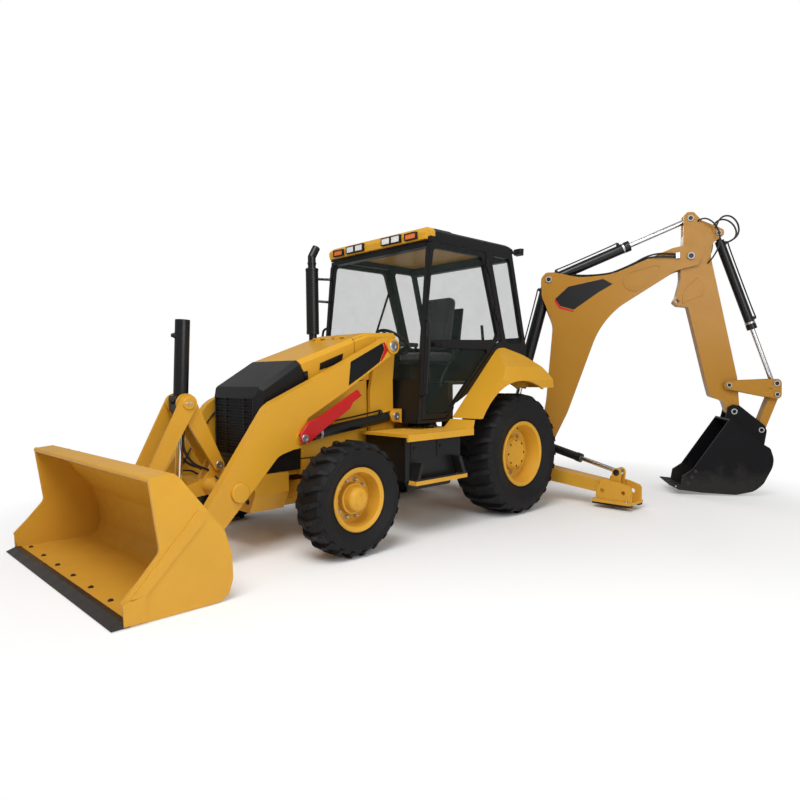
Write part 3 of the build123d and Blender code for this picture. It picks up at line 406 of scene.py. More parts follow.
# The finish of each CAD node
FINISHES = {
    "yellow": ["main_frame", "engine_cowl", "hood", "rear_fenders", "loader_arms", "tilt_levers",
               "tilt_links", "loader_bucket", "backhoe_frame", "leg_left", "leg_right", "front_axle",
               "rear_axle", "knuckle_left", "knuckle_right", "wheel_front_left", "wheel_front_right",
               "wheel_rear_left", "wheel_rear_right"],
    # The backhoe's parts take the darker yellow, which is painted shade
    "hoe shaded yellow": ["swing_post", "boom", "stick", "rocker", "hoe_link"],
    "black": ["lift_barrels", "tilt_barrel", "boom_barrel", "stick_barrel", "curl_barrel", "leg_barrel_left",
              "leg_barrel_right", "bucket_edge", "engine_block", "exhaust_stack"],
    "trim": ["cab_frame", "door_left", "door_right", "side_boxes", "controls", "nose_grille"],
    "chrome": ["lift_rods", "tilt_rod", "boom_rod", "stick_rod", "curl_rod", "leg_rod_left", "leg_rod_right"],
    "tyre": ["tyre_front_left", "tyre_front_right", "tyre_rear_left", "tyre_rear_right"],
    "glass": ["cab_glass", "door_left_glass", "door_right_glass"],
    "lamp": ["lamps"],
    "seat": ["operator_seat"],
    "worn": ["hoe_bucket"],
    "roof": ["cab_roof"],
    "steps": ["side_steps"],
}


# Bodies that swing with the backhoe; their pieces are drawn straight back and then turned
HOE_BODIES = {"swing_post", "boom", "boom_barrel", "stick", "stick_barrel", "rocker", "curl_barrel",
              "hoe_bucket"}


def placing(body):
    """How the pieces of a body are placed: straight on the machine, or swung with the backhoe."""
    return HOE if body in HOE_BODIES else Matrix.Identity(4)


def corners(a0, a1, b0, b1):
    """The corners of an upright rectangle."""
    return [(a0, b0), (a1, b0), (a1, b1), (a0, b1)]


class Piece:
    """A named piece put together from plain forms, in millimetres."""

    def __init__(self, name, material, body):
        self.name = name
        self.material = material
        self.body = body
        self.place = placing(body)
        self.form = bmesh.new()

    def loft(self, rings, hoop=False):
        """Skin from ring to ring, with the ends filled, or joined up into a hoop."""
        made = [[self.form.verts.new([c * MM for c in p]) for p in ring] for ring in rings]
        pairs = list(zip(made, made[1:]))
        if hoop:
            pairs.append((made[-1], made[0]))
        for a, b in pairs:
            for i in range(len(a)):
                j = (i + 1) % len(a)
                self.form.faces.new((a[i], a[j], b[j], b[i]))
        if not hoop:
            self.form.faces.new(list(reversed(made[0])))
            self.form.faces.new(made[-1])

    def plate(self, points, y0, y1):
        """A flat plate from (x, z) corners between two places across the machine."""
        self.loft([[(x, y, z) for x, z in points] for y in (y0, y1)])

    def block(self, x0, x1, y0, y1, z0, z1):
        self.plate(corners(x0, x1, z0, z1), y0, y1)

    def pair(self, points, near, far):
        """The same flat plate on both sides, between two distances out from the middle."""
        for side, _ in SIDES:
            self.plate(points, side * near, side * far)

    def turned(self, profile, start, way, steps=28, hoop=False):
        """(radius, distance) pairs turned about the line from start in the direction way."""
        axis = Vector(way).normalized()
        side = axis.orthogonal().normalized()
        other = axis.cross(side)
        rings = []
        for radius, along in profile:
            middle = Vector(start) + axis * along
            ring = []
            for i in range(steps):
                angle = 2 * math.pi * i / steps
                ring.append(middle + (side * math.cos(angle) + other * math.sin(angle)) * radius)
            rings.append(ring)
        self.loft(rings, hoop)

    def rod(self, a, b, radius, steps=18):
        length = (Vector(b) - Vector(a)).length
        self.turned([(radius, 0), (radius, length)], a, Vector(b) - Vector(a), steps)

    def bolt(self, place, way, across, height):
        """A hexagon head on its washer."""
        self.turned([(across * 0.72, 0), (across * 0.72, 2.5)], place, way, 20)
        head = [(across * 0.55, 1), (across * 0.55, height * 0.8), (across * 0.42, height)]
        self.turned(head, place, way, 6)

    def frame(self, outer, inner, x0, x1):
        """A bezel between two (y, z) outlines with as many corners as each other."""
        rings = []
        for x, outline in ((x0, outer), (x1, outer), (x1, inner), (x0, inner)):
            rings.append([(x, y, z) for y, z in outline])
        self.loft(rings, True)

    def done(self, bevel=2.0):
        """Smooth it, finish it and hang it on its body."""
        bmesh.ops.recalc_face_normals(self.form, faces=self.form.faces)
        mesh = bpy.data.meshes.new(self.name)
        self.form.to_mesh(mesh)
        self.form.free()
        mesh.transform(self.place)
        mesh.materials.append(MATERIALS[self.material])
        mesh.polygons.foreach_set("use_smooth", [True] * len(mesh.polygons))
        mesh.set_sharp_from_angle(angle=CRISP_ANGLE)
        made = bpy.data.objects.new(self.name, mesh)
        bpy.context.scene.collection.objects.link(made)
        if bevel:
            edge = made.modifiers.new("Rounded edges", "BEVEL")
            edge.width = bevel * MM
            edge.segments = 2
            edge.limit_method = "ANGLE"
            edge.angle_limit = ROUND_ANGLE
        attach(made, self.body)
        return made


def turned_piece(name, material, body, profile, start, way, steps, bevel):
    """A piece that is one turned form."""
    piece = Piece(name, material, body)
    piece.turned(profile, start, way, steps)
    piece.done(bevel)


def bolted(name, material, body, places, way, size, bevel=1.0):
    """A piece that is a set of bolts, of a size (across, height)."""
    piece = Piece(name, material, body)
    for place in places:
        piece.bolt(place, way, *size)
    piece.done(bevel)


def paired(name, material, body, points, near, far, bevel):
    """A piece that is one flat plate on each side."""
    piece = Piece(name, material, body)
    piece.pair(points, near, far)
    piece.done(bevel)


def colour_panel(name, material, body, points, face):
    """A thin plain colour panel on each side, on a face so far out from the middle."""
    paired(name, material, body, points, face, face + PANEL_DEPTH, 0.5)


def route(name, material, body, points, radius):
    """A round line on one smooth curve through the given control points, in millimetres."""
    curve = bpy.data.curves.new(name, "CURVE")
    curve.dimensions = "3D"
    curve.resolution_u = 10
    curve.use_fill_caps = True
    spline = curve.splines.new("NURBS")
    spline.points.add(len(points) - 1)
    place = placing(body)
    for control, point in zip(spline.points, points):
        control.co = (*(place @ (Vector(point) * MM)), 1.0)
    spline.order_u = 3
    spline.use_endpoint_u = True
    made = bpy.data.objects.new(name, curve)
    bpy.context.scene.collection.objects.link(made)
    bare = bpy.data.meshes.new_from_object(made.evaluated_get(bpy.context.evaluated_depsgraph_get()))
    length = 0.0
    for edge in bare.edges:
        a, b = edge.vertices
        length += (bare.vertices[a].co - bare.vertices[b].co).length
    bpy.data.meshes.remove(bare)
    curve.bevel_depth = radius * MM
    curve.bevel_resolution = 4
    curve.materials.append(MATERIALS[material])
    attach(made, body)
    return made, length


def hard_line(name, body, points, radius):
    """A fixed steel line."""
    return route(name, "trim", body, points, radius)[0]


def hose(name, body, points, radius):
    """A rubber hose between two fittings on the object, along a smooth curve through the given points."""
    made, length = route(name, "hose", body, points, radius)
    return made


def aft(points):
    """Backhoe points (distance behind the swing axis, z) as (x, z), in millimetres."""
    return [(SWING_X - s, z) for s, z in points]


# Pins of the backhoe
BOOM_HEEL, BOOM_FOOT, BOOM_EYE = aft([(483, 2602), (450, 600), (60, 1010)])
STICK_PIVOT, STICK_EYE, CURL_BASE = aft([(2121, 2813), (2124, 3264), (2433, 3072)])
ROCKER_PIVOT, LINK_TOP, CURL_EYE = aft([(2545, 1283), (3058, 1172), (3055, 1300)])
HOE_HINGE, HOE_LINK_FOOT = aft([(2613, 971), (2908, 755)])


def behind(points, side):
    """Backhoe points (distance behind the swing axis, y, z) on the left side, 1, or the right, -1."""
    return [(SWING_X - s, y * side, z) for s, y, z in points]


def flip(points, side):
    """Points (x, y, z) on the left side, 1, or the right, -1."""
    return [(x, y * side, z) for x, y, z in points]


def at(pin, y):
    """An (x, z) pin as a point at a place across the machine."""
    return (pin[0], y, pin[1])


def toward(p, q, d):
    """The (x, z) point at distance d from p towards q."""
    n = math.hypot(q[0] - p[0], q[1] - p[1])
    return (p[0] + (q[0] - p[0]) * d / n, p[1] + (q[1] - p[1]) * d / n)


class LOADER_OT_finishes(bpy.types.Operator):
    """Make the finishes and give each CAD node its own"""

    bl_idname = "loader.finishes"
    bl_label = "Finishes"

    def execute(self, context):
        props = context.scene.loader_finish
        MATERIALS.update({
            "yellow": paint("Yellow enamel", props.yellow),
            # The main paint darkened for the backhoe: painted shade
            "hoe shaded yellow": paint("Backhoe enamel with painted shade", props.hoe_shaded_yellow, 0.3, 0.25, 0.08),
            "roof": paint("Roof enamel", props.yellow, dark=roof_sides),
            "steps": paint("Step enamel", props.yellow, dark=step_sides),
            "black": paint("Black enamel", props.black, 0.28, 0.3, 0.05),
            "panel": panel("Black panel", (0.005, 0.005, 0.006)),
            "red": paint("Red enamel", props.red, 0.3, 0.4, 0.05),
            "pale": plastic("Pale ring", (0.46, 0.46, 0.46), 0.4),
            "trim": plastic("Black trim", (0.007, 0.007, 0.008), 0.36),
            # Near-black for the exhaust guard's holes: painted shade
            "dark": plastic("Painted shade in holes", (0.004, 0.004, 0.004), 0.8),
            "chrome": steel("Plated rod", (0.78, 0.78, 0.8), 0.08, 3.0),
            "steel": steel("Bright steel", (0.55, 0.55, 0.56), 0.28, 8.0),
            "worn": worn_bucket("Worn bucket", props.black),
            "tyre": rubber("Tyre rubber", props.tyre, 0.06),
            "hose": hose_rubber("Hose cover", (0.007, 0.007, 0.007)),
            "glass": glazing("Tinted glass", props.glass, props.see_through),
            "lamp": lens("Lamp lenses", (0.85, 0.86, 0.86), 60.0, (0.85, 0.19, 0.02)),
            "red lens": lens("Red lens", (0.5, 0.02, 0.015), 50.0),
            "seat": cloth("Cushion cover", props.seat, 900.0),
        })
        for material, nodes in FINISHES.items():
            for node in nodes:
                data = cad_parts[node].data
                data.materials.clear()
                data.materials.append(MATERIALS[material])
        return {"FINISHED"}


class LOADER_OT_tyres(bpy.types.Operator):
    """Put a moulded, lugged tyre in the place of each plain CAD tyre"""

    bl_idname = "loader.tyres"
    bl_label = "Tyres"

    def execute(self, context):
        props = context.scene.loader_wheels
        rear = (620, 490, 333, 200)
        front = (462, 310, 256, 112)
        for side, word in SIDES:
            rear_hub, front_hub = flip([REAR_HUB, FRONT_HUB], side)
            self.tyre("tyre_rear_" + word, word + "_rear_wheel", rear_hub, side, rear, props.rear_lugs)
            self.tyre("tyre_front_" + word, word + "_front_wheel", front_hub, side, front, props.front_lugs)
        return {"FINISHED"}

    def tyre(self, node, body, hub, side, size, lugs):
        radius, width, rim, bead = size
        h = width / 2
        base = radius - 34
        mid = 0.5 * (rim + radius)
        wall = [(rim - 26, bead - 4), (rim + 3, bead), (rim + 10, bead + 5), (rim + 16, bead + 3),
                (rim + 30, bead + 16), (mid - 18, h - 7), (mid - 14, h - 3), (mid + 8, h - 1),
                (mid + 12, h - 5), (mid + 34, h - 4), (base - 26, h - 14), (base - 6, h - 26), (base, h - 44),
                (base + 1, h * 0.4)]
        profile = wall + [(r, -y) for r, y in reversed(wall)]
        piece = Piece(node + "_moulded", "tyre", body)
        piece.turned([(r, y * side) for r, y in profile], hub, (0, 1, 0), 96, True)
        reach = radius * math.tan(math.pi / lugs)
        for i in range(lugs):
            for face in (1, -1):
                self.lug(piece, hub, side, face, 2 * math.pi * i / lugs, (radius, base, h, reach))
        made = piece.done(3.5)
        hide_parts(node)

    def lug(self, piece, hub, side, face, turn, size):
        """One slanted bar of the tread, from near the middle to the shoulder."""
        radius, base, h, reach = size
        shift = reach * 0.16 * face
        rings = []
        for k in range(6):
            share = k / 5
            y = 6 + (h - 10) * share
            middle = shift + reach * 0.4 * (1.9 * share - 1)
            half = reach * (0.36 - 0.07 * share)
            top = radius - 0.5 if y < h - 60 else radius - 0.5 - (y - h + 60) * 0.9
            ring = []
            foot = base - 14
            for height, across in ((foot, -half - 5), (top, -half + 3), (top, half - 3), (foot, half + 5)):
                angle = turn + (middle + across) / radius
                lift = min(height, top)
                x = hub[0] + math.cos(angle) * lift
                z = hub[2] + math.sin(angle) * lift
                ring.append((x, hub[1] + y * face * side, z))
            rings.append(ring)
        piece.loft(rings)


def round_axle(hub, side, radius, out, count, start=0.0):
    """Places evenly round a wheel's axis, the first one so large a share of a step round from +X."""
    for i in range(count):
        angle = 2 * math.pi * (i + start) / count
        yield Vector(hub) + Vector((math.cos(angle) * radius, out * side, math.sin(angle) * radius))


class LOADER_OT_wheels(bpy.types.Operator):
    """Fit wheel nuts, hub caps and valve stems"""

    bl_idname = "loader.wheels"
    bl_label = "Wheels"

    def execute(self, context):
        props = context.scene.loader_wheels
        for side, word in SIDES:
            way = (0, side, 0)
            rear_hub, front_hub = flip([REAR_HUB, FRONT_HUB], side)
            body = word + "_front_wheel"
            studs = round_axle(front_hub, side, 152, 1, props.front_nuts)
            self.nuts("front_nuts_" + word, body, studs, way, 30, 9)
            cap = [(99, 84), (99, 100), (90, 118), (66, 131), (40, 134), (2, 134)]
            turned_piece("front_hub_cap_" + word, "yellow", body, cap, front_hub, way, 40, 1.5)
            plugs = round_axle(front_hub, side, 46, 132, 3, 0.75)
            bolted("front_hub_plugs_" + word, "yellow", body, plugs, way, (20, 10))
            body = word + "_rear_wheel"
            studs = round_axle(rear_hub, side, 204, 45, props.rear_nuts, 0.5)
            self.nuts("rear_nuts_" + word, body, studs, way, 32, 10)
            cap = [(150, 112), (150, 120), (142, 127), (120, 128), (116, 123), (2, 123)]
            turned_piece("rear_hub_cap_" + word, "yellow", body, cap, rear_hub, way, 48, 1.5)
            bolts = round_axle(rear_hub, side, 131, 127, 8)
            bolted("rear_cap_bolts_" + word, "black", body, bolts, way, (15, 8), 0.8)
            foot = Vector(rear_hub) + Vector((0, 112 * side, 276))
            stem = [(7, 0), (7, 30), (5, 34), (5, 46)]
            turned_piece("valve_stems_" + word, "black", body, stem, foot, (0, side, -0.5), 14, 0.8)
        return {"FINISHED"}

    @staticmethod
    def nuts(name, body, places, way, across, stud):
        """Wheel nuts, each with the end of its stud standing out."""
        nuts = Piece(name, "steel", body)
        tip = 18 + 2 * stud
        for foot in places:
            nuts.bolt(foot, way, across, 24)
            nuts.turned([(stud, 18), (stud, tip - 2), (stud - 2, tip)], foot, way, 14)
        nuts.done(1.0)


class LOADER_OT_nose(bpy.types.Operator):
    """Weave the grille and fit the hood's vents and latches"""

    bl_idname = "loader.nose"
    bl_label = "Hood and grille"

    def execute(self, context):
        props = context.scene.loader_body
        mesh = Piece("grille_mesh", "trim", "machine")
        pitch = props.grille_pitch / MM
        half, low, top = 300, 783, 1259
        count = int(2 * half / pitch)
        for i in range(count + 1):
            y = -half + 2 * half * i / count
            mesh.block(2678, 2681, y - 2, y + 2, low, top)
        count = int((top - low) / pitch)
        for i in range(count + 1):
            z = low + (top - low) * i / count
            mesh.block(2680, 2683, -half - 2, half + 2, z - 2, z + 2)
        mesh.done(0.0)
        rim = Piece("grille_surround", "trim", "machine")
        rim.frame(corners(-322, 322, 764, 1272), corners(-303, 303, 782, 1258), 2680, 2689)
        rim.done(3.0)
        vents = Piece("hood_vent_mesh", "trim", "hood")
        vents.pair([(2052, 1548), (1796, 1640), (1811, 1560), (2060, 1491)], 382.5, 385.5)
        bars = 14
        for i in range(bars):
            k = (i + 0.5) / bars
            top = (1796 + 256 * k, 1640 - 92 * k)
            low = (1811 + 249 * k, 1560 - 69 * k)
            vents.pair([top, (top[0] + 4, top[1]), (low[0] + 4, low[1]), low], 384, 388)
        vents.done(0.0)
        latch = Piece("hood_latches", "black", "hood")
        latch.pair([(2196, 1486), (2232, 1476), (2222, 1404), (2188, 1412)], 385, 396)
        for side, _ in SIDES:
            latch.bolt((2208, side * 395, 1444), (0, side, 0), 22, 8)
        latch.done(2.0)
        spots = []
        for y in (-340, -260, 260, 340):
            spots += [(2744, y * 0.9, 420), (2744, y * 1.1, 540)]
        bolted("nose_tow_bolts", "black", "machine", spots, (1, 0, 0), (34, 18))
        return {"FINISHED"}


class LOADER_OT_arms(bpy.types.Operator):
    """Dress the loader arms: colour panels, safety strut, pin caps, lines and hoses"""

    bl_idname = "loader.arms"
    bl_label = "Loader arms"

    def execute(self, context):
        panel = [(1834, 1561), (1452, 1738), (1428, 1685), (1491, 1560), (1704, 1436), (1860, 1351)]
        colour_panel("arm_panels", "panel", "loader_arms", panel, ARM_FACE)
        stripe = [(1446, 1741), (1424, 1746), (1380, 1672), (1462, 1572), (1482, 1567), (1425, 1685)]
        colour_panel("arm_stripes", "red", "loader_arms", stripe, ARM_FACE)
        strut = Piece("safety_strut", "red", "loader_arms")
        web = [(2415, 960), (2323, 1059), (2193, 1100), (1791, 1313), (1748, 1262), (1850, 1205),
               (1888, 1149), (2165, 992), (2330, 885)]
        strut.plate(web, 553, 586)
        strut.turned([(46, 0), (46, 8), (40, 10)], at(LIFT_EYE, 580), (0, 1, 0), 32)
        strut.done(7.0)
        cap_row("loader_arm", "machine", [(ARM_PIN, 559, 50)])
        cap_row("loader_arm_low", "loader_arms", [(LIFT_EYE, 594, 34)])
        cap_row("loader_bucket", "loader_bucket", [(BUCKET_PIN, 590, 30), (LINK_FOOT, 182, 28)])
        cap_row("lift_foot", "machine", [(LIFT_BASE, 562, 38)])
        bosses = Piece("arm_bosses", "yellow", "loader_arms")
        apex = Piece("tilt_apex_bosses", "yellow", "tilt_barrel")
        screws = Piece("tilt_apex_screws", "steel", "tilt_barrel")
        for side, _ in SIDES:
            way = (0, side, 0)
            bosses.turned([(76, 0), (76, 16), (70, 22), (2, 22)], at(CROSS_TUBE, side * 540), way, 40)
            apex.turned([(50, 0), (50, 10), (45, 15), (2, 15)], at(TILT_APEX, side * 140), way, 36)
            for off in (-16, 16):
                screws.bolt((TILT_APEX[0] + off, side * 154, TILT_APEX[1]), way, 16, 8)
        bosses.done(2.0)
        apex.done(1.5)
        screws.done(0.8)
        cap_row("lever_foot", "loader_arms", [(LEVER_FOOT, 112, 32)])
        pin = Piece("tilt_apex_pin", "steel", "tilt_barrel")
        pin.rod(at(TILT_APEX, -146), at(TILT_APEX, 146), 30, 28)
        pin.done(2.0)
        line = [(1420, 1700), (1700, 1570), (2300, 1290), (2560, 1180), (2680, 1080), (2880, 790)]
        lever = [(2925, 62, 600), (2930, 62, 640), (2965, 62, 690), (3045, 63, 715), (3120, 64, 775),
                 (3176, 66, 880), (3170, 66, 990), (3150, 64, 1130)]
        tilt = [(2880, ARM_LINE_Y, 790), (2920, 438, 718), (2975, 410, 660), (3010, 340, 640),
                (3000, 260, 650), (2965, 195, 650), (2925, 150, 605)]
        for side, word in SIDES:
            dress_ram("lift_" + word, "lift_barrels", LIFT_BASE, LIFT_EYE, side * 492, 48, 930)
            hard_line("arm_line_" + word, "loader_arms", [at(spot, side * ARM_LINE_Y) for spot in line], 6)
            hose("lever_hose_" + word, "loader_arms", flip(lever, side), 11)
            hose("tilt_hose_" + word, "loader_arms", flip(tilt, side), 8)
        dress_ram("tilt", "tilt_barrel", toward(TILT_EYE, TILT_APEX, 1390), TILT_EYE, 0, 58, 777, line=False)
        return {"FINISHED"}


def cap_row(name, body, spots):
    """Pin ends on both sides at ((x, z), y of the face, radius): plated, or black and pale on the backhoe."""
    hoe = body in HOE_BODIES
    caps = Piece(name + "_pin_caps", "black" if hoe else "steel", body)
    rings = Piece(name + "_pin_rings", "pale", body) if hoe else None
    for pin, y, r in spots:
        cap = [(r, 0), (r, 9), (r * 0.92, 12), (r * 0.45, 12), (r * 0.4, 9), (2, 9)]
        ring = [(r * 0.98, 9), (r * 0.98, 14.5), (r * 0.68, 14.5), (r * 0.68, 9)]
        for side, _ in SIDES:
            foot = at(pin, y * side - 3 * side)
            caps.turned(cap, foot, (0, side, 0), 32)
            if hoe:
                rings.turned(ring, foot, (0, side, 0), 32, True)
    caps.done(0.8)
    if hoe:
        rings.done(0.4)


def dress_ram(name, body, base, eye, y, radius, length, line=True):
    """Bright gland band, port blocks and a hard line on a cylinder's barrel."""
    dx, dz = eye[0] - base[0], eye[1] - base[1]
    n = math.hypot(dx, dz)
    up = (-dz / n, dx / n)
    if up[1] < 0:
        up = (-up[0], -up[1])

    def raised(spot, height):
        return (spot[0] + up[0] * height, spot[1] + up[1] * height)

    band = Piece(name + "_band", "steel", body)
    ring = [(radius - 2, 0), (radius + 4, 2), (radius + 4, 24), (radius - 2, 26)]
    p, q = [toward(base, eye, length - back) for back in (92, 66)]
    band.turned(ring, at(p, y), (q[0] - p[0], 0, q[1] - p[1]), 36, True)
    band.done(0.8)
    ports = Piece(name + "_ports", "black", body)
    port = [(22, radius - 8), (22, radius + 12), (16, radius + 16), (16, radius + 30)]
    spots = [toward(base, eye, d) for d in (130, length - 120)]
    for spot in spots:
        ports.turned(port, at(spot, y), at(up, 0), 18)
    ports.done(1.5)
    if line:
        a, b = [raised(spot, radius + 24) for spot in spots]
        way = [a, raised(a, 8), toward(a, b, 60), toward(b, a, 60), raised(b, 8), b]
        hard_line(name + "_line", body, [at(spot, y) for spot in way], 8)


class LOADER_OT_bucket(bpy.types.Operator):
    """Bolt on the loader bucket's cutting edge and wear parts"""

    bl_idname = "loader.bucket"
    bl_label = "Loader bucket"

    def execute(self, context):
        props = context.scene.loader_work
        half = 1090
        last = props.edge_bolts - 1
        spots = [(3985, -half + 2 * half * i / last, 29) for i in range(props.edge_bolts)]
        bolted("edge_bolts", "black", "loader_bucket", spots, (0, 0, 1), (28, 12), 1.2)
        ribs = Piece("bucket_back_ribs", "yellow", "loader_bucket")
        rib = [(3470, 492), (3742, 842), (3722, 852), (3428, 470), (3398, 330), (3422, 322)]
        for y in (-900, -640, 640, 900):
            ribs.plate(rib, y - 12, y + 12)
        ribs.done(2.0)
        return {"FINISHED"}


class LOADER_OT_cab(bpy.types.Operator):
    """Fit the cab's lamps, rails, wiper, handles and gutters"""

    bl_idname = "loader.cab"
    bl_label = "Cab fittings"

    def execute(self, context):
        bezels = Piece("lamp_bezels", "trim", "machine")
        for side, _ in SIDES:
            for y0, y1, z0, z1 in ((150, 262, 2738, 2796), (288, 400, 2738, 2796), (480, 620, 2736, 2786)):
                outer = corners(side * (y0 - 10), side * (y1 + 10), z0 - 9, z1 + 9)
                inner = corners(side * (y0 + 1), side * (y1 - 1), z0 + 1, z1 - 1)
                bezels.frame(outer, inner, 1058, 1099)
        bezels.done(4.0)
        rail = [(1166, 744, 1240), (1172, 800, 1245), (1166, 822, 1300), (1108, 822, 1900), (1104, 800, 1958),
                (1096, 744, 1962)]
        pull = [(842, 724, 1330), (836, 690, 1335), (800, 684, 1420), (660, 684, 1600), (640, 690, 1655),
                (640, 724, 1690)]
        for side, word in SIDES:
            hard_line("grab_rail_" + word, "machine", flip(rail, side), 13)
            handle = Piece("door_handle_" + word, "trim", word + "_door")
            handle.plate([(890, 1714), (1000, 1714), (1004, 1738), (886, 1738)], side * 766, side * 784)
            handle.turned([(15, 0), (15, 10), (9, 12)], (905, side * 782, 1726), (0, side, 0), 20)
            handle.done(3.0)
            hard_line("door_pull_" + word, word + "_door", flip(pull, side), 11)
        wiper = Piece("wiper", "trim", "machine")
        wiper.turned([(26, 0), (26, 22), (16, 30)], (1148, -90, 1452), (1, 0, 0.1), 24)
        wiper.rod((1182, -90, 1456), (1130, 150, 1960), 6)
        wiper.rod((1160, 40, 1690), (1092, 250, 2270), 7)
        wiper.rod((1149, 40, 1688), (1080, 250, 2268), 5)
        wiper.done(1.0)
        lip = [(1010, 2736), (1010, 2752), (-300, 2752), (-300, 2736)]
        paired("roof_gutter", "trim", "machine", lip, 722, 738, 3.0)
        pillar = Piece("rear_lamp_housings", "trim", "machine")
        pillar.pair([(-300, 2740), (-352, 2742), (-360, 2792), (-300, 2798)], 408, 532)
        pillar.pair([(-352, 2738), (-418, 2728), (-424, 2806), (-360, 2800)], 700, 792)
        for side, _ in SIDES:
            pillar.rod((-300, side * 690, 2762), (-370, side * 730, 2762), 15)
        pillar.done(5.0)
        tail = [(-548, 1330), (-536, 1330), (-526, 1390), (-540, 1392)]
        paired("tail_lamps", "red lens", "machine", tail, 820, 940, 3.0)
        return {"FINISHED"}


class LOADER_OT_seat(bpy.types.Operator):
    """Upholster the driver's seat with stuffed pads"""

    bl_idname = "loader.seat"
    bl_label = "Seat"

    def execute(self, context):
        props = context.scene.loader_body
        cushion = self.pad("seat_cushion", (70, 550, -240, 240, 1580, 1684), 0.0, props.swell)
        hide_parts("operator_seat")
        self.pad("seat_back", (60, 168, -225, 225, 1690, 2318), math.radians(10.3), props.swell)
        shell = Piece("seat_shell", "trim", "machine")
        pan = [(62, 1560), (556, 1560), (560, 1578), (190, 1582), (60, 1600), (-44, 2180), (-70, 2176),
               (28, 1590)]
        shell.plate(pan, -232, 232)
        shell.plate([(180, 1366), (420, 1366), (400, 1420), (380, 1562), (220, 1562), (200, 1420)], -150, 150)
        for side, _ in SIDES:
            shell.rod((175, 250 * side, 1585), (175, 290 * side, 1600), 16)
            shell.rod((175, 290 * side, 1600), (175, 290 * side, 1768), 16)
        shell.done(6.0)
        for side, word in SIDES:
            rest = Piece("armrest_" + word, "seat", "machine")
            steps = 20
            rings = []
            for x, grow in ((150, 0.7), (158, 0.94), (176, 1.0), (454, 1.0), (472, 0.94), (480, 0.7)):
                ring = []
                for i in range(steps):
                    angle = 2 * math.pi * i / steps
                    c, s = math.cos(angle), math.sin(angle)
                    ring.append((x, 293 * side + 31 * grow * math.copysign(abs(c) ** 0.6, c),
                                 1785 + 24 * grow * math.copysign(abs(s) ** 0.6, s)))
                rings.append(ring)
            rest.loft(rings)
            rest.done(0.0)
        return {"FINISHED"}

    @staticmethod
    def pad(name, size, lean, swell):
        """A stuffed pad: a block blown up as cloth, with sewn channels pressed in afterwards."""
        x0, x1, y0, y1, z0, z1 = [v * MM for v in size]
        form = bmesh.new()
        bmesh.ops.create_cube(form, size=1.0)
        bmesh.ops.bevel(form, geom=form.edges[:], offset=0.12, segments=3, profile=0.5, affect="EDGES")
        room = 0.02
        spread = Matrix.Diagonal((x1 - x0 - room, y1 - y0 - room, z1 - z0 - room, 1.0))
        bmesh.ops.transform(form, matrix=spread, verts=form.verts)
        mesh = bpy.data.meshes.new(name)
        form.to_mesh(mesh)
        form.free()
        made = bpy.data.objects.new(name, mesh)
        bpy.context.scene.collection.objects.link(made)
        remesh = made.modifiers.new("Even cells", "REMESH")
        remesh.mode = "VOXEL"
        remesh.voxel_size = PAD_CELL
        bake(made)
        rest = [vert.co.copy() for vert in made.data.vertices]
        blow(made, rest, swell)
        upright = (z1 - z0) > (x1 - x0)
        face, along = (0, 2) if upright else (2, 0)
        span = max(z1 - z0, x1 - x0)
        for vert in made.data.vertices:
            if vert.co[face] > 0:
                for seam in SEAMS:
                    off = (vert.co[along] - seam * span) / SEAM_WIDTH
                    vert.co[face] -= math.exp(-off ** 2) * SEAM_DEPTH
        turn = Matrix.Rotation(-lean, 4, "Y")
        shift = Matrix.Translation(((x0 + x1) / 2, (y0 + y1) / 2, (z0 + z1) / 2))
        made.data.transform(shift @ turn)
        made.data.materials.append(MATERIALS["seat"])
        made.data.polygons.foreach_set("use_smooth", [True] * len(made.data.polygons))
        smooth = made.modifiers.new("Soft surface", "SUBSURF")
        smooth.levels = 1
        smooth.render_levels = 1
        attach(made, "machine")
        return made


def bake(made):
    """Put an object's modifiers into its mesh."""
    fresh = bpy.data.meshes.new_from_object(made.evaluated_get(bpy.context.evaluated_depsgraph_get()))
    made.modifiers.clear()
    old = made.data
    made.data = fresh
    bpy.data.meshes.remove(old)


def blow(made, rest, swell):
    """Swell a closed skin with cloth pressure, no point moving further than swell."""
    scene = bpy.context.scene
    cloth_step = made.modifiers.new("Stuffing", "CLOTH")
    cloth_step.settings.use_pressure = True
    cloth_step.settings.uniform_pressure_force = 4.0
    cloth_step.settings.effector_weights.gravity = 0.0
    for tick in range(1, 16):
        scene.frame_set(tick)
        bpy.context.view_layer.update()
    bake(made)
    scene.frame_set(1)
    for vert, start in zip(made.data.vertices, rest):
        step = vert.co - start
        if step.length > swell:
            vert.co = start + step.normalized() * swell


class LOADER_OT_exhaust(bpy.types.Operator):
    """Set near-black discs on the exhaust guard as painted shade for its holes, and clamp the stack"""

    bl_idname = "loader.exhaust"
    bl_label = "Exhaust"

    def execute(self, context):
        props = context.scene.loader_body
        # Each hole is a near-black disc: painted shade where the guard's holes are
        holes = Piece("exhaust_guard_hole_shade", "dark", "machine")
        low, high, around = 1900, 2490, 18
        for row in range(props.guard_rows):
            z = low + (high - low) * row / (props.guard_rows - 1)
            for i in range(around):
                angle = 2 * math.pi * (i + 0.5 * (row % 2)) / around
                way = Vector((math.cos(angle), math.sin(angle), 0))
                foot = Vector((*STACK, z)) + way * 58
                holes.turned([(7, 0), (7, 5.0)], foot, way, 8)
        holes.done(0.0)
        clamps = Piece("exhaust_clamps", "black", "machine")
        for z in (1868, 2496):
            clamps.turned([(61, 0), (65, 2), (65, 20), (61, 22)], (*STACK, z), (0, 0, 1), 36, True)
        clamps.turned([(39, 0), (45, 2), (45, 20), (39, 22)], (*STACK, 2560), (0, 0, 1), 32, True)
        clamps.done(1.0)
        cap = [(42, 0), (42, 12), (50, 14), (50, 34), (40, 40), (2, 40)]
        turned_piece("fuel_cap", "black", "machine", cap, (1000, 700, 928), (0, 0, 1), 28, 2.0)
        return {"FINISHED"}


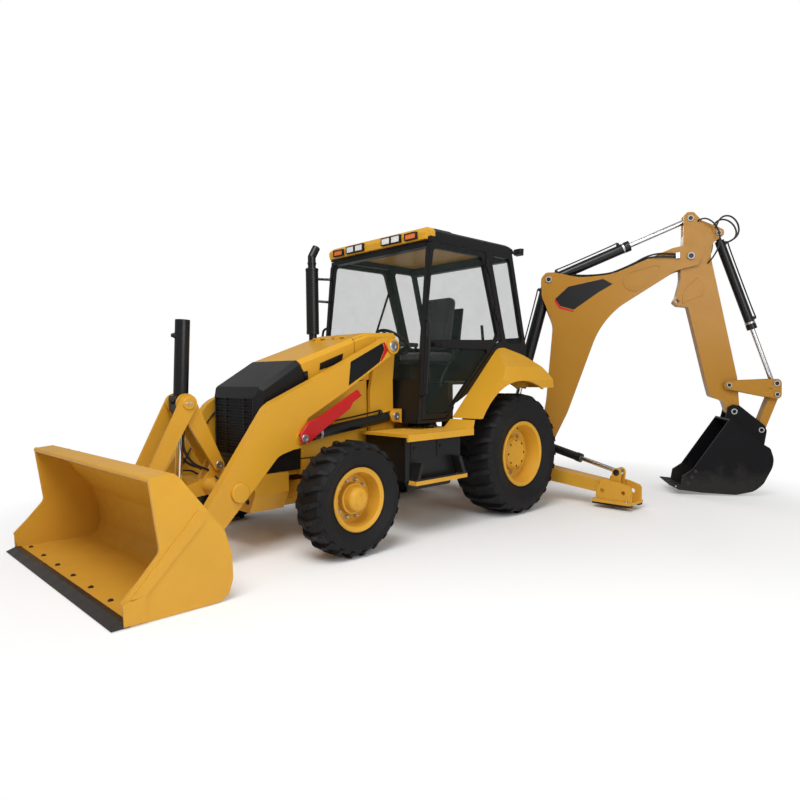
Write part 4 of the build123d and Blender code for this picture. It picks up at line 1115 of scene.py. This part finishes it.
class LOADER_OT_steps(bpy.types.Operator):
    """Dimple the decks and steps and fit the tool box doors"""

    bl_idname = "loader.steps"
    bl_label = "Steps and boxes"

    def execute(self, context):
        props = context.scene.loader_body
        pitch = props.dimple_pitch / MM
        deck = Piece("deck_dimples", "yellow", "machine")
        for side, _ in SIDES:
            row = 0
            x = 800.0
            while x < 1625:
                y = 470.0 + (pitch / 2 if row % 2 else 0)
                while y < 1030:
                    if x > 880 or y < 745:
                        deck.turned([(9, 0), (8, 2.5), (4.5, 4)], (x, y * side, DECK_TOP), (0, 0, 1), 10)
                    y += pitch
                row += 1
                x += pitch * 0.87
        deck.done(0.0)
        tread = Piece("step_dimples", "yellow", "machine")
        for side, _ in SIDES:
            for i in range(16):
                for y in (1004, 1028):
                    tread.turned([(9, 0), (8, 3), (5, 5)], (910 + 40.8 * i, y * side, 497.5), (0, 0, 1), 10)
        tread.done(0.0)
        doors = Piece("box_doors", "trim", "machine")
        doors.pair(corners(885, 1190, 700, 888), 964, 972)
        doors.pair(corners(1210, 1525, 700, 888), 964, 972)
        for side, _ in SIDES:
            for x in (1150, 1485):
                doors.turned([(16, 0), (16, 8), (10, 12)], (x, side * 970, 794), (0, side, 0), 20)
        doors.done(4.0)
        return {"FINISHED"}


class LOADER_OT_hoe(bpy.types.Operator):
    """Dress the backhoe: panels, plates, pin caps, lines and hoses"""

    bl_idname = "loader.hoe"
    bl_label = "Backhoe"

    def execute(self, context):
        area = aft([(560, 2360), (719, 2506), (1130, 2585), (1240, 2518), (1068, 2420), (783, 2222),
                    (622, 2272)])
        colour_panel("boom_panels", "panel", "boom", area, BOOM_FACE)
        strip = aft([(548, 2340), (579, 2350), (628, 2262), (783, 2212), (783, 2192), (609, 2242)])
        colour_panel("boom_stripes", "red", "boom", strip, BOOM_FACE)
        cheek = aft([(2095, 2287), (2040, 2262), (2040, 2345), (2072, 2428), (2137, 2496), (2202, 2563),
                     (2279, 2468), (2269, 2352)])
        # The stick's plates take the backhoe's darker yellow, which is painted shade
        paired("stick_plates", "hoe shaded yellow", "stick", cheek, 77, 84, 2.0)
        cap_row("boom_heel", "boom", [(BOOM_HEEL, 125, 38), (STICK_PIVOT, 129, 42)])
        cap_row("boom_foot", "swing_post", [(BOOM_FOOT, 160, 38), (BOOM_EYE, 72, 34)])
        tops = [(CURL_BASE, 86, 30), (STICK_EYE, 78, 36), (ROCKER_PIVOT, 145, 30)]
        cap_row("stick_top", "stick", tops)
        cap_row("rocker_end", "rocker", [(LINK_TOP, 145, 28), (CURL_EYE, 141, 34)])
        cap_row("hoe_hinge", "hoe_bucket", [(HOE_HINGE, 106, 34), (HOE_LINK_FOOT, 106, 32)])
        # The rocker's bosses take the backhoe's darker yellow, which is painted shade
        boss = Piece("rocker_bosses", "hoe shaded yellow", "rocker")
        for side, _ in SIDES:
            boss.turned([(44, 0), (44, 38), (38, 40)], at(CURL_EYE, side * 120), (0, -side, 0), 28)
        boss.done(1.5)
        dress_ram("boom_ram", "boom_barrel", BOOM_HEEL, BOOM_EYE, 0, 72, 1380)
        dress_ram("stick_ram", "stick_barrel", BOOM_HEEL, STICK_EYE, 0, 60, 1040)
        dress_ram("curl_ram", "curl_barrel", CURL_BASE, CURL_EYE, 0, 52, 1200)
        for side, word in SIDES:
            self.boom_hoses(side, word)
            loop = [(2205, 84, 3225), (2215, 120, 3238), (2290, 150, 3240), (2380, 162, 3160),
                    (2432, 162, 3030), (2418, 158, 2900), (2370, 150, 2800), (2330, 120, 2740),
                    (2318, 84, 2725)]
            hose("stick_loop_" + word, "stick", behind(loop, side), 9)
            loop = [(2400, 92, 3130), (2410, 96, 3190), (2470, 98, 3265), (2560, 90, 3265), (2640, 70, 3190),
                    (2668, 46, 3085), (2628, 24, 3005), (2560, 12, 2978)]
            hose("curl_loop_" + word, "curl_barrel", behind(loop, side), 10)
        guard = Piece("boom_line_clamps", "black", "boom")
        for s, z in ((940, 2618), (1240, 2642)):
            x = SWING_X - s
            guard.block(x - 22, x + 22, -100, 100, z - 6, z + 26)
        guard.done(3.0)
        return {"FINISHED"}

    @staticmethod
    def boom_hoses(side, word):
        """Two hard lines along the boom, their hoses round the boom's cheek, and the block they end in."""
        for k in (0, 1):
            y = 58 + 26 * k
            line = [(760, y, 2655), (900, y, 2636), (1200, y, 2648), (1330, y, 2695), (1420, y, 2732)]
            hard_line("boom_line_%s_%d" % (word, k), "boom", behind(line, side), 9)
            loop = [(1420, y, 2732), (1500, y + 6, 2766), (1580, 92 + 20 * k, 2800 + 10 * k),
                    (1670, 126 + 8 * k, 2818 + 24 * k), (1770, 140, 2820 + 36 * k),
                    (1870, 140, 2815 + 36 * k), (1960, 132, 2805 + 34 * k)]
            hose("boom_hose_%s_%d" % (word, k), "boom", behind(loop, side), 10)
        block = Piece("boom_hose_block_" + word, "steel", "boom")
        block.plate(aft([(1950, 2784), (2000, 2790), (2000, 2862), (1950, 2856)]), side * 112, side * 142)
        block.done(3.0)


class LOADER_OT_hoe_bucket(bpy.types.Operator):
    """Fit the digging bucket's tooth pins and wear straps"""

    bl_idname = "loader.hoe_bucket"
    bl_label = "Digging bucket"

    def execute(self, context):
        pins = Piece("tooth_pins", "steel", "hoe_bucket")
        x = SWING_X - 1935
        for i in range(5):
            y = -265 + i * 132.5
            pins.rod((x, y - 35, 98), (x, y + 35, 98), 9)
        pins.done(1.0)
        straps = Piece("bucket_straps", "black", "hoe_bucket")
        for side, _ in SIDES:
            for pin in aft([(2070, 140), (2110, 210), (2150, 280)]):
                straps.bolt(at(pin, side * 299), (0, side, 0), 30, 14)
        strap = aft([(2300, 24), (2585, 11), (2780, 55), (2886, 150), (2900, 138), (2788, 42), (2590, 2),
                     (2300, 14)])
        for y in (-170, 0, 170):
            straps.plate(strap, y - 30, y + 30)
        straps.done(1.5)
        return {"FINISHED"}


class LOADER_OT_stabilizers(bpy.types.Operator):
    """Fit the stabilizers' rubber strips, pad bolts and pin caps"""

    bl_idname = "loader.stabilizers"
    bl_label = "Stabilizers"

    def execute(self, context):
        for side, word in SIDES:
            strip = Piece("pad_rubber_" + word, "tyre", word + "_leg")
            for x0, x1 in ((-1080, -1010), (-860, -790)):
                strip.block(x0, x1, side * 1404, side * 1832, 42, 64)
            strip.done(5.0)
            spots = [(x, y * side, 92) for x in (-1066, -804) for y in (1450, 1790)]
            bolted("pad_bolts_" + word, "steel", word + "_leg", spots, (0, 0, 1), (28, 16))
            caps = Piece("leg_pin_caps_" + word, "black", "machine")
            rings = Piece("leg_pin_rings_" + word, "pale", "machine")
            for y, z, r in ((360, 345, 46), (400, 690, 36)):
                ring = [(r * 0.72, 11), (r * 0.72, 14), (r * 0.56, 14), (r * 0.56, 11)]
                for x, way in ((-1064, -1), (-806, 1)):
                    foot = (x - 3 * way, y * side, z)
                    caps.turned([(r, 0), (r, 9), (r * 0.9, 12), (2, 13)], foot, (way, 0, 0), 30)
                    rings.turned(ring, foot, (way, 0, 0), 30, True)
            caps.done(0.8)
            rings.done(0.4)
            foot_caps = Piece("leg_rod_caps_" + word, "black", word + "_leg")
            for x, way in ((-997, -1), (-873, 1)):
                foot = (x - 3 * way, 1640 * side, 385)
                foot_caps.turned([(34, 0), (34, 9), (28, 12), (2, 12)], foot, (way, 0, 0), 28)
            foot_caps.done(0.8)
        return {"FINISHED"}


def lamp(name, place, target, size, power):
    data = bpy.data.lights.new(name, "AREA")
    data.shape = "RECTANGLE"
    data.size, data.size_y = size
    data.energy = power
    made = bpy.data.objects.new(name, data)
    bpy.context.scene.collection.objects.link(made)
    made.location = place
    made.rotation_euler = (Vector(target) - Vector(place)).to_track_quat("-Z", "Y").to_euler()


class LOADER_OT_stage(bpy.types.Operator):
    """Lay the pale floor, hang the soft lamps and set the camera"""

    bl_idname = "loader.stage"
    bl_label = "Stage"

    def execute(self, context):
        props = context.scene.loader_stage
        scene = context.scene
        scene.view_settings.view_transform = "Standard"
        self.floor(scene, props)
        self.world(scene)
        lamp("Key", (6.0, 3.5, 8.0), (0.5, 0.4, 0.8), (5.0, 5.0), 560)
        lamp("Fill", (3.0, 9.0, 4.0), (0.0, 0.5, 1.2), (6.0, 4.0), 240)
        lamp("Rim", (-6.0, -4.0, 6.0), (0.0, 0.0, 1.5), (5.0, 4.0), 150)
        camera = bpy.data.cameras.new("Camera")
        camera.lens = props.lens
        camera.sensor_width = 36.0
        camera.clip_end = 500
        eye = bpy.data.objects.new("Camera", camera)
        scene.collection.objects.link(eye)
        level = math.cos(props.pitch)
        look = Vector((level * math.cos(props.heading), level * math.sin(props.heading),
                       math.sin(props.pitch)))
        turn = look.to_track_quat("-Z", "Y").to_matrix().to_4x4()
        eye.matrix_world = Matrix.Translation(props.eye) @ turn @ Matrix.Rotation(props.roll, 4, "Z")
        scene.camera = eye
        return {"FINISHED"}

    @staticmethod
    def seen(shader):
        """One where the ray comes from the camera or through a pane, and nought for other light."""
        straight = shader.node("ShaderNodeLightPath", out="Is Camera Ray")
        through = shader.node("ShaderNodeLightPath", out="Is Transmission Ray")
        return straight + through > 0.5

    def floor(self, scene, props):
        mesh = bpy.data.meshes.new("Floor")
        mesh.from_pydata([(x, y, 0) for x, y in corners(-60, 60, -60, 60)], [], [(0, 1, 2, 3)])
        floor = bpy.data.objects.new("Floor", mesh)
        scene.collection.objects.link(floor)
        s = Shader("Pale floor")
        s.set(Base_Color=rgba(props.floor), Roughness=0.8, Specular_IOR_Level=0.15)
        white = s.node("ShaderNodeEmission", {}, {"Color": WHITE, "Strength": 1.0})
        x = s.axis(0) - 0.5
        y = s.axis(1) - 0.4
        away = s.ramp((x * x + y * y) ** 0.5 / 10.0, [(0.26, 0.0), (0.50, 1.0)])
        self.blend(s, away * self.seen(s), s.bsdf, white, "Material Output")
        mesh.materials.append(s.owner)

    def world(self, scene):
        world = bpy.data.worlds.new("Studio")
        scene.world = world
        s = Shader("Studio", world)
        soft = s.tree.nodes["Background"]
        soft.inputs["Color"].default_value = WHITE
        soft.inputs["Strength"].default_value = SOFT_LIGHT
        white = s.node("ShaderNodeBackground", {}, {"Color": WHITE, "Strength": 1.0})
        self.blend(s, self.seen(s), soft, white, "World Output")

    @staticmethod
    def blend(shader, share, plain, white, output):
        """Lead a mix of the plain surface and pure white to the output."""
        parts = {0: share, 1: Socket(shader, plain.outputs[0]), 2: white}
        whole = shader.node("ShaderNodeMixShader", {}, parts)
        shader.tree.links.new(whole.socket, shader.tree.nodes[output].inputs["Surface"])


class LOADER_PT_looks(bpy.types.Panel):
    """The loader's looks, piece by piece"""

    bl_label = "Loader"
    bl_idname = "LOADER_PT_looks"
    bl_space_type = "VIEW_3D"
    bl_region_type = "UI"
    bl_category = "Loader"

    def draw(self, context):
        for operator in OPERATORS:
            self.layout.operator(operator.bl_idname)
        for group in GROUPS:
            box = self.layout.box()
            for prop in getattr(context.scene, group).bl_rna.properties:
                if prop.identifier not in ("name", "rna_type"):
                    box.prop(getattr(context.scene, group), prop.identifier)


GROUPS = {"loader_finish": LoaderFinish, "loader_wheels": LoaderWheels, "loader_body": LoaderBody,
          "loader_work": LoaderWork, "loader_stage": LoaderStage}
OPERATORS = [LOADER_OT_finishes, LOADER_OT_stage, LOADER_OT_arms, LOADER_OT_hoe, LOADER_OT_tyres,
             LOADER_OT_wheels, LOADER_OT_nose, LOADER_OT_bucket, LOADER_OT_cab, LOADER_OT_seat,
             LOADER_OT_exhaust, LOADER_OT_steps, LOADER_OT_hoe_bucket, LOADER_OT_stabilizers]
CLASSES = [*GROUPS.values(), *OPERATORS, LOADER_PT_looks]


def register():
    for cls in CLASSES:
        bpy.utils.register_class(cls)
    for name, group in GROUPS.items():
        setattr(bpy.types.Scene, name, bpy.props.PointerProperty(type=group))


def unregister():
    for name in GROUPS:
        delattr(bpy.types.Scene, name)
    for cls in reversed(CLASSES):
        bpy.utils.unregister_class(cls)


def main():
    register()
    for operator in OPERATORS:
        family, name = operator.bl_idname.split(".")
        getattr(getattr(bpy.ops, family), name)()


if __name__ == "__main__":
    main()
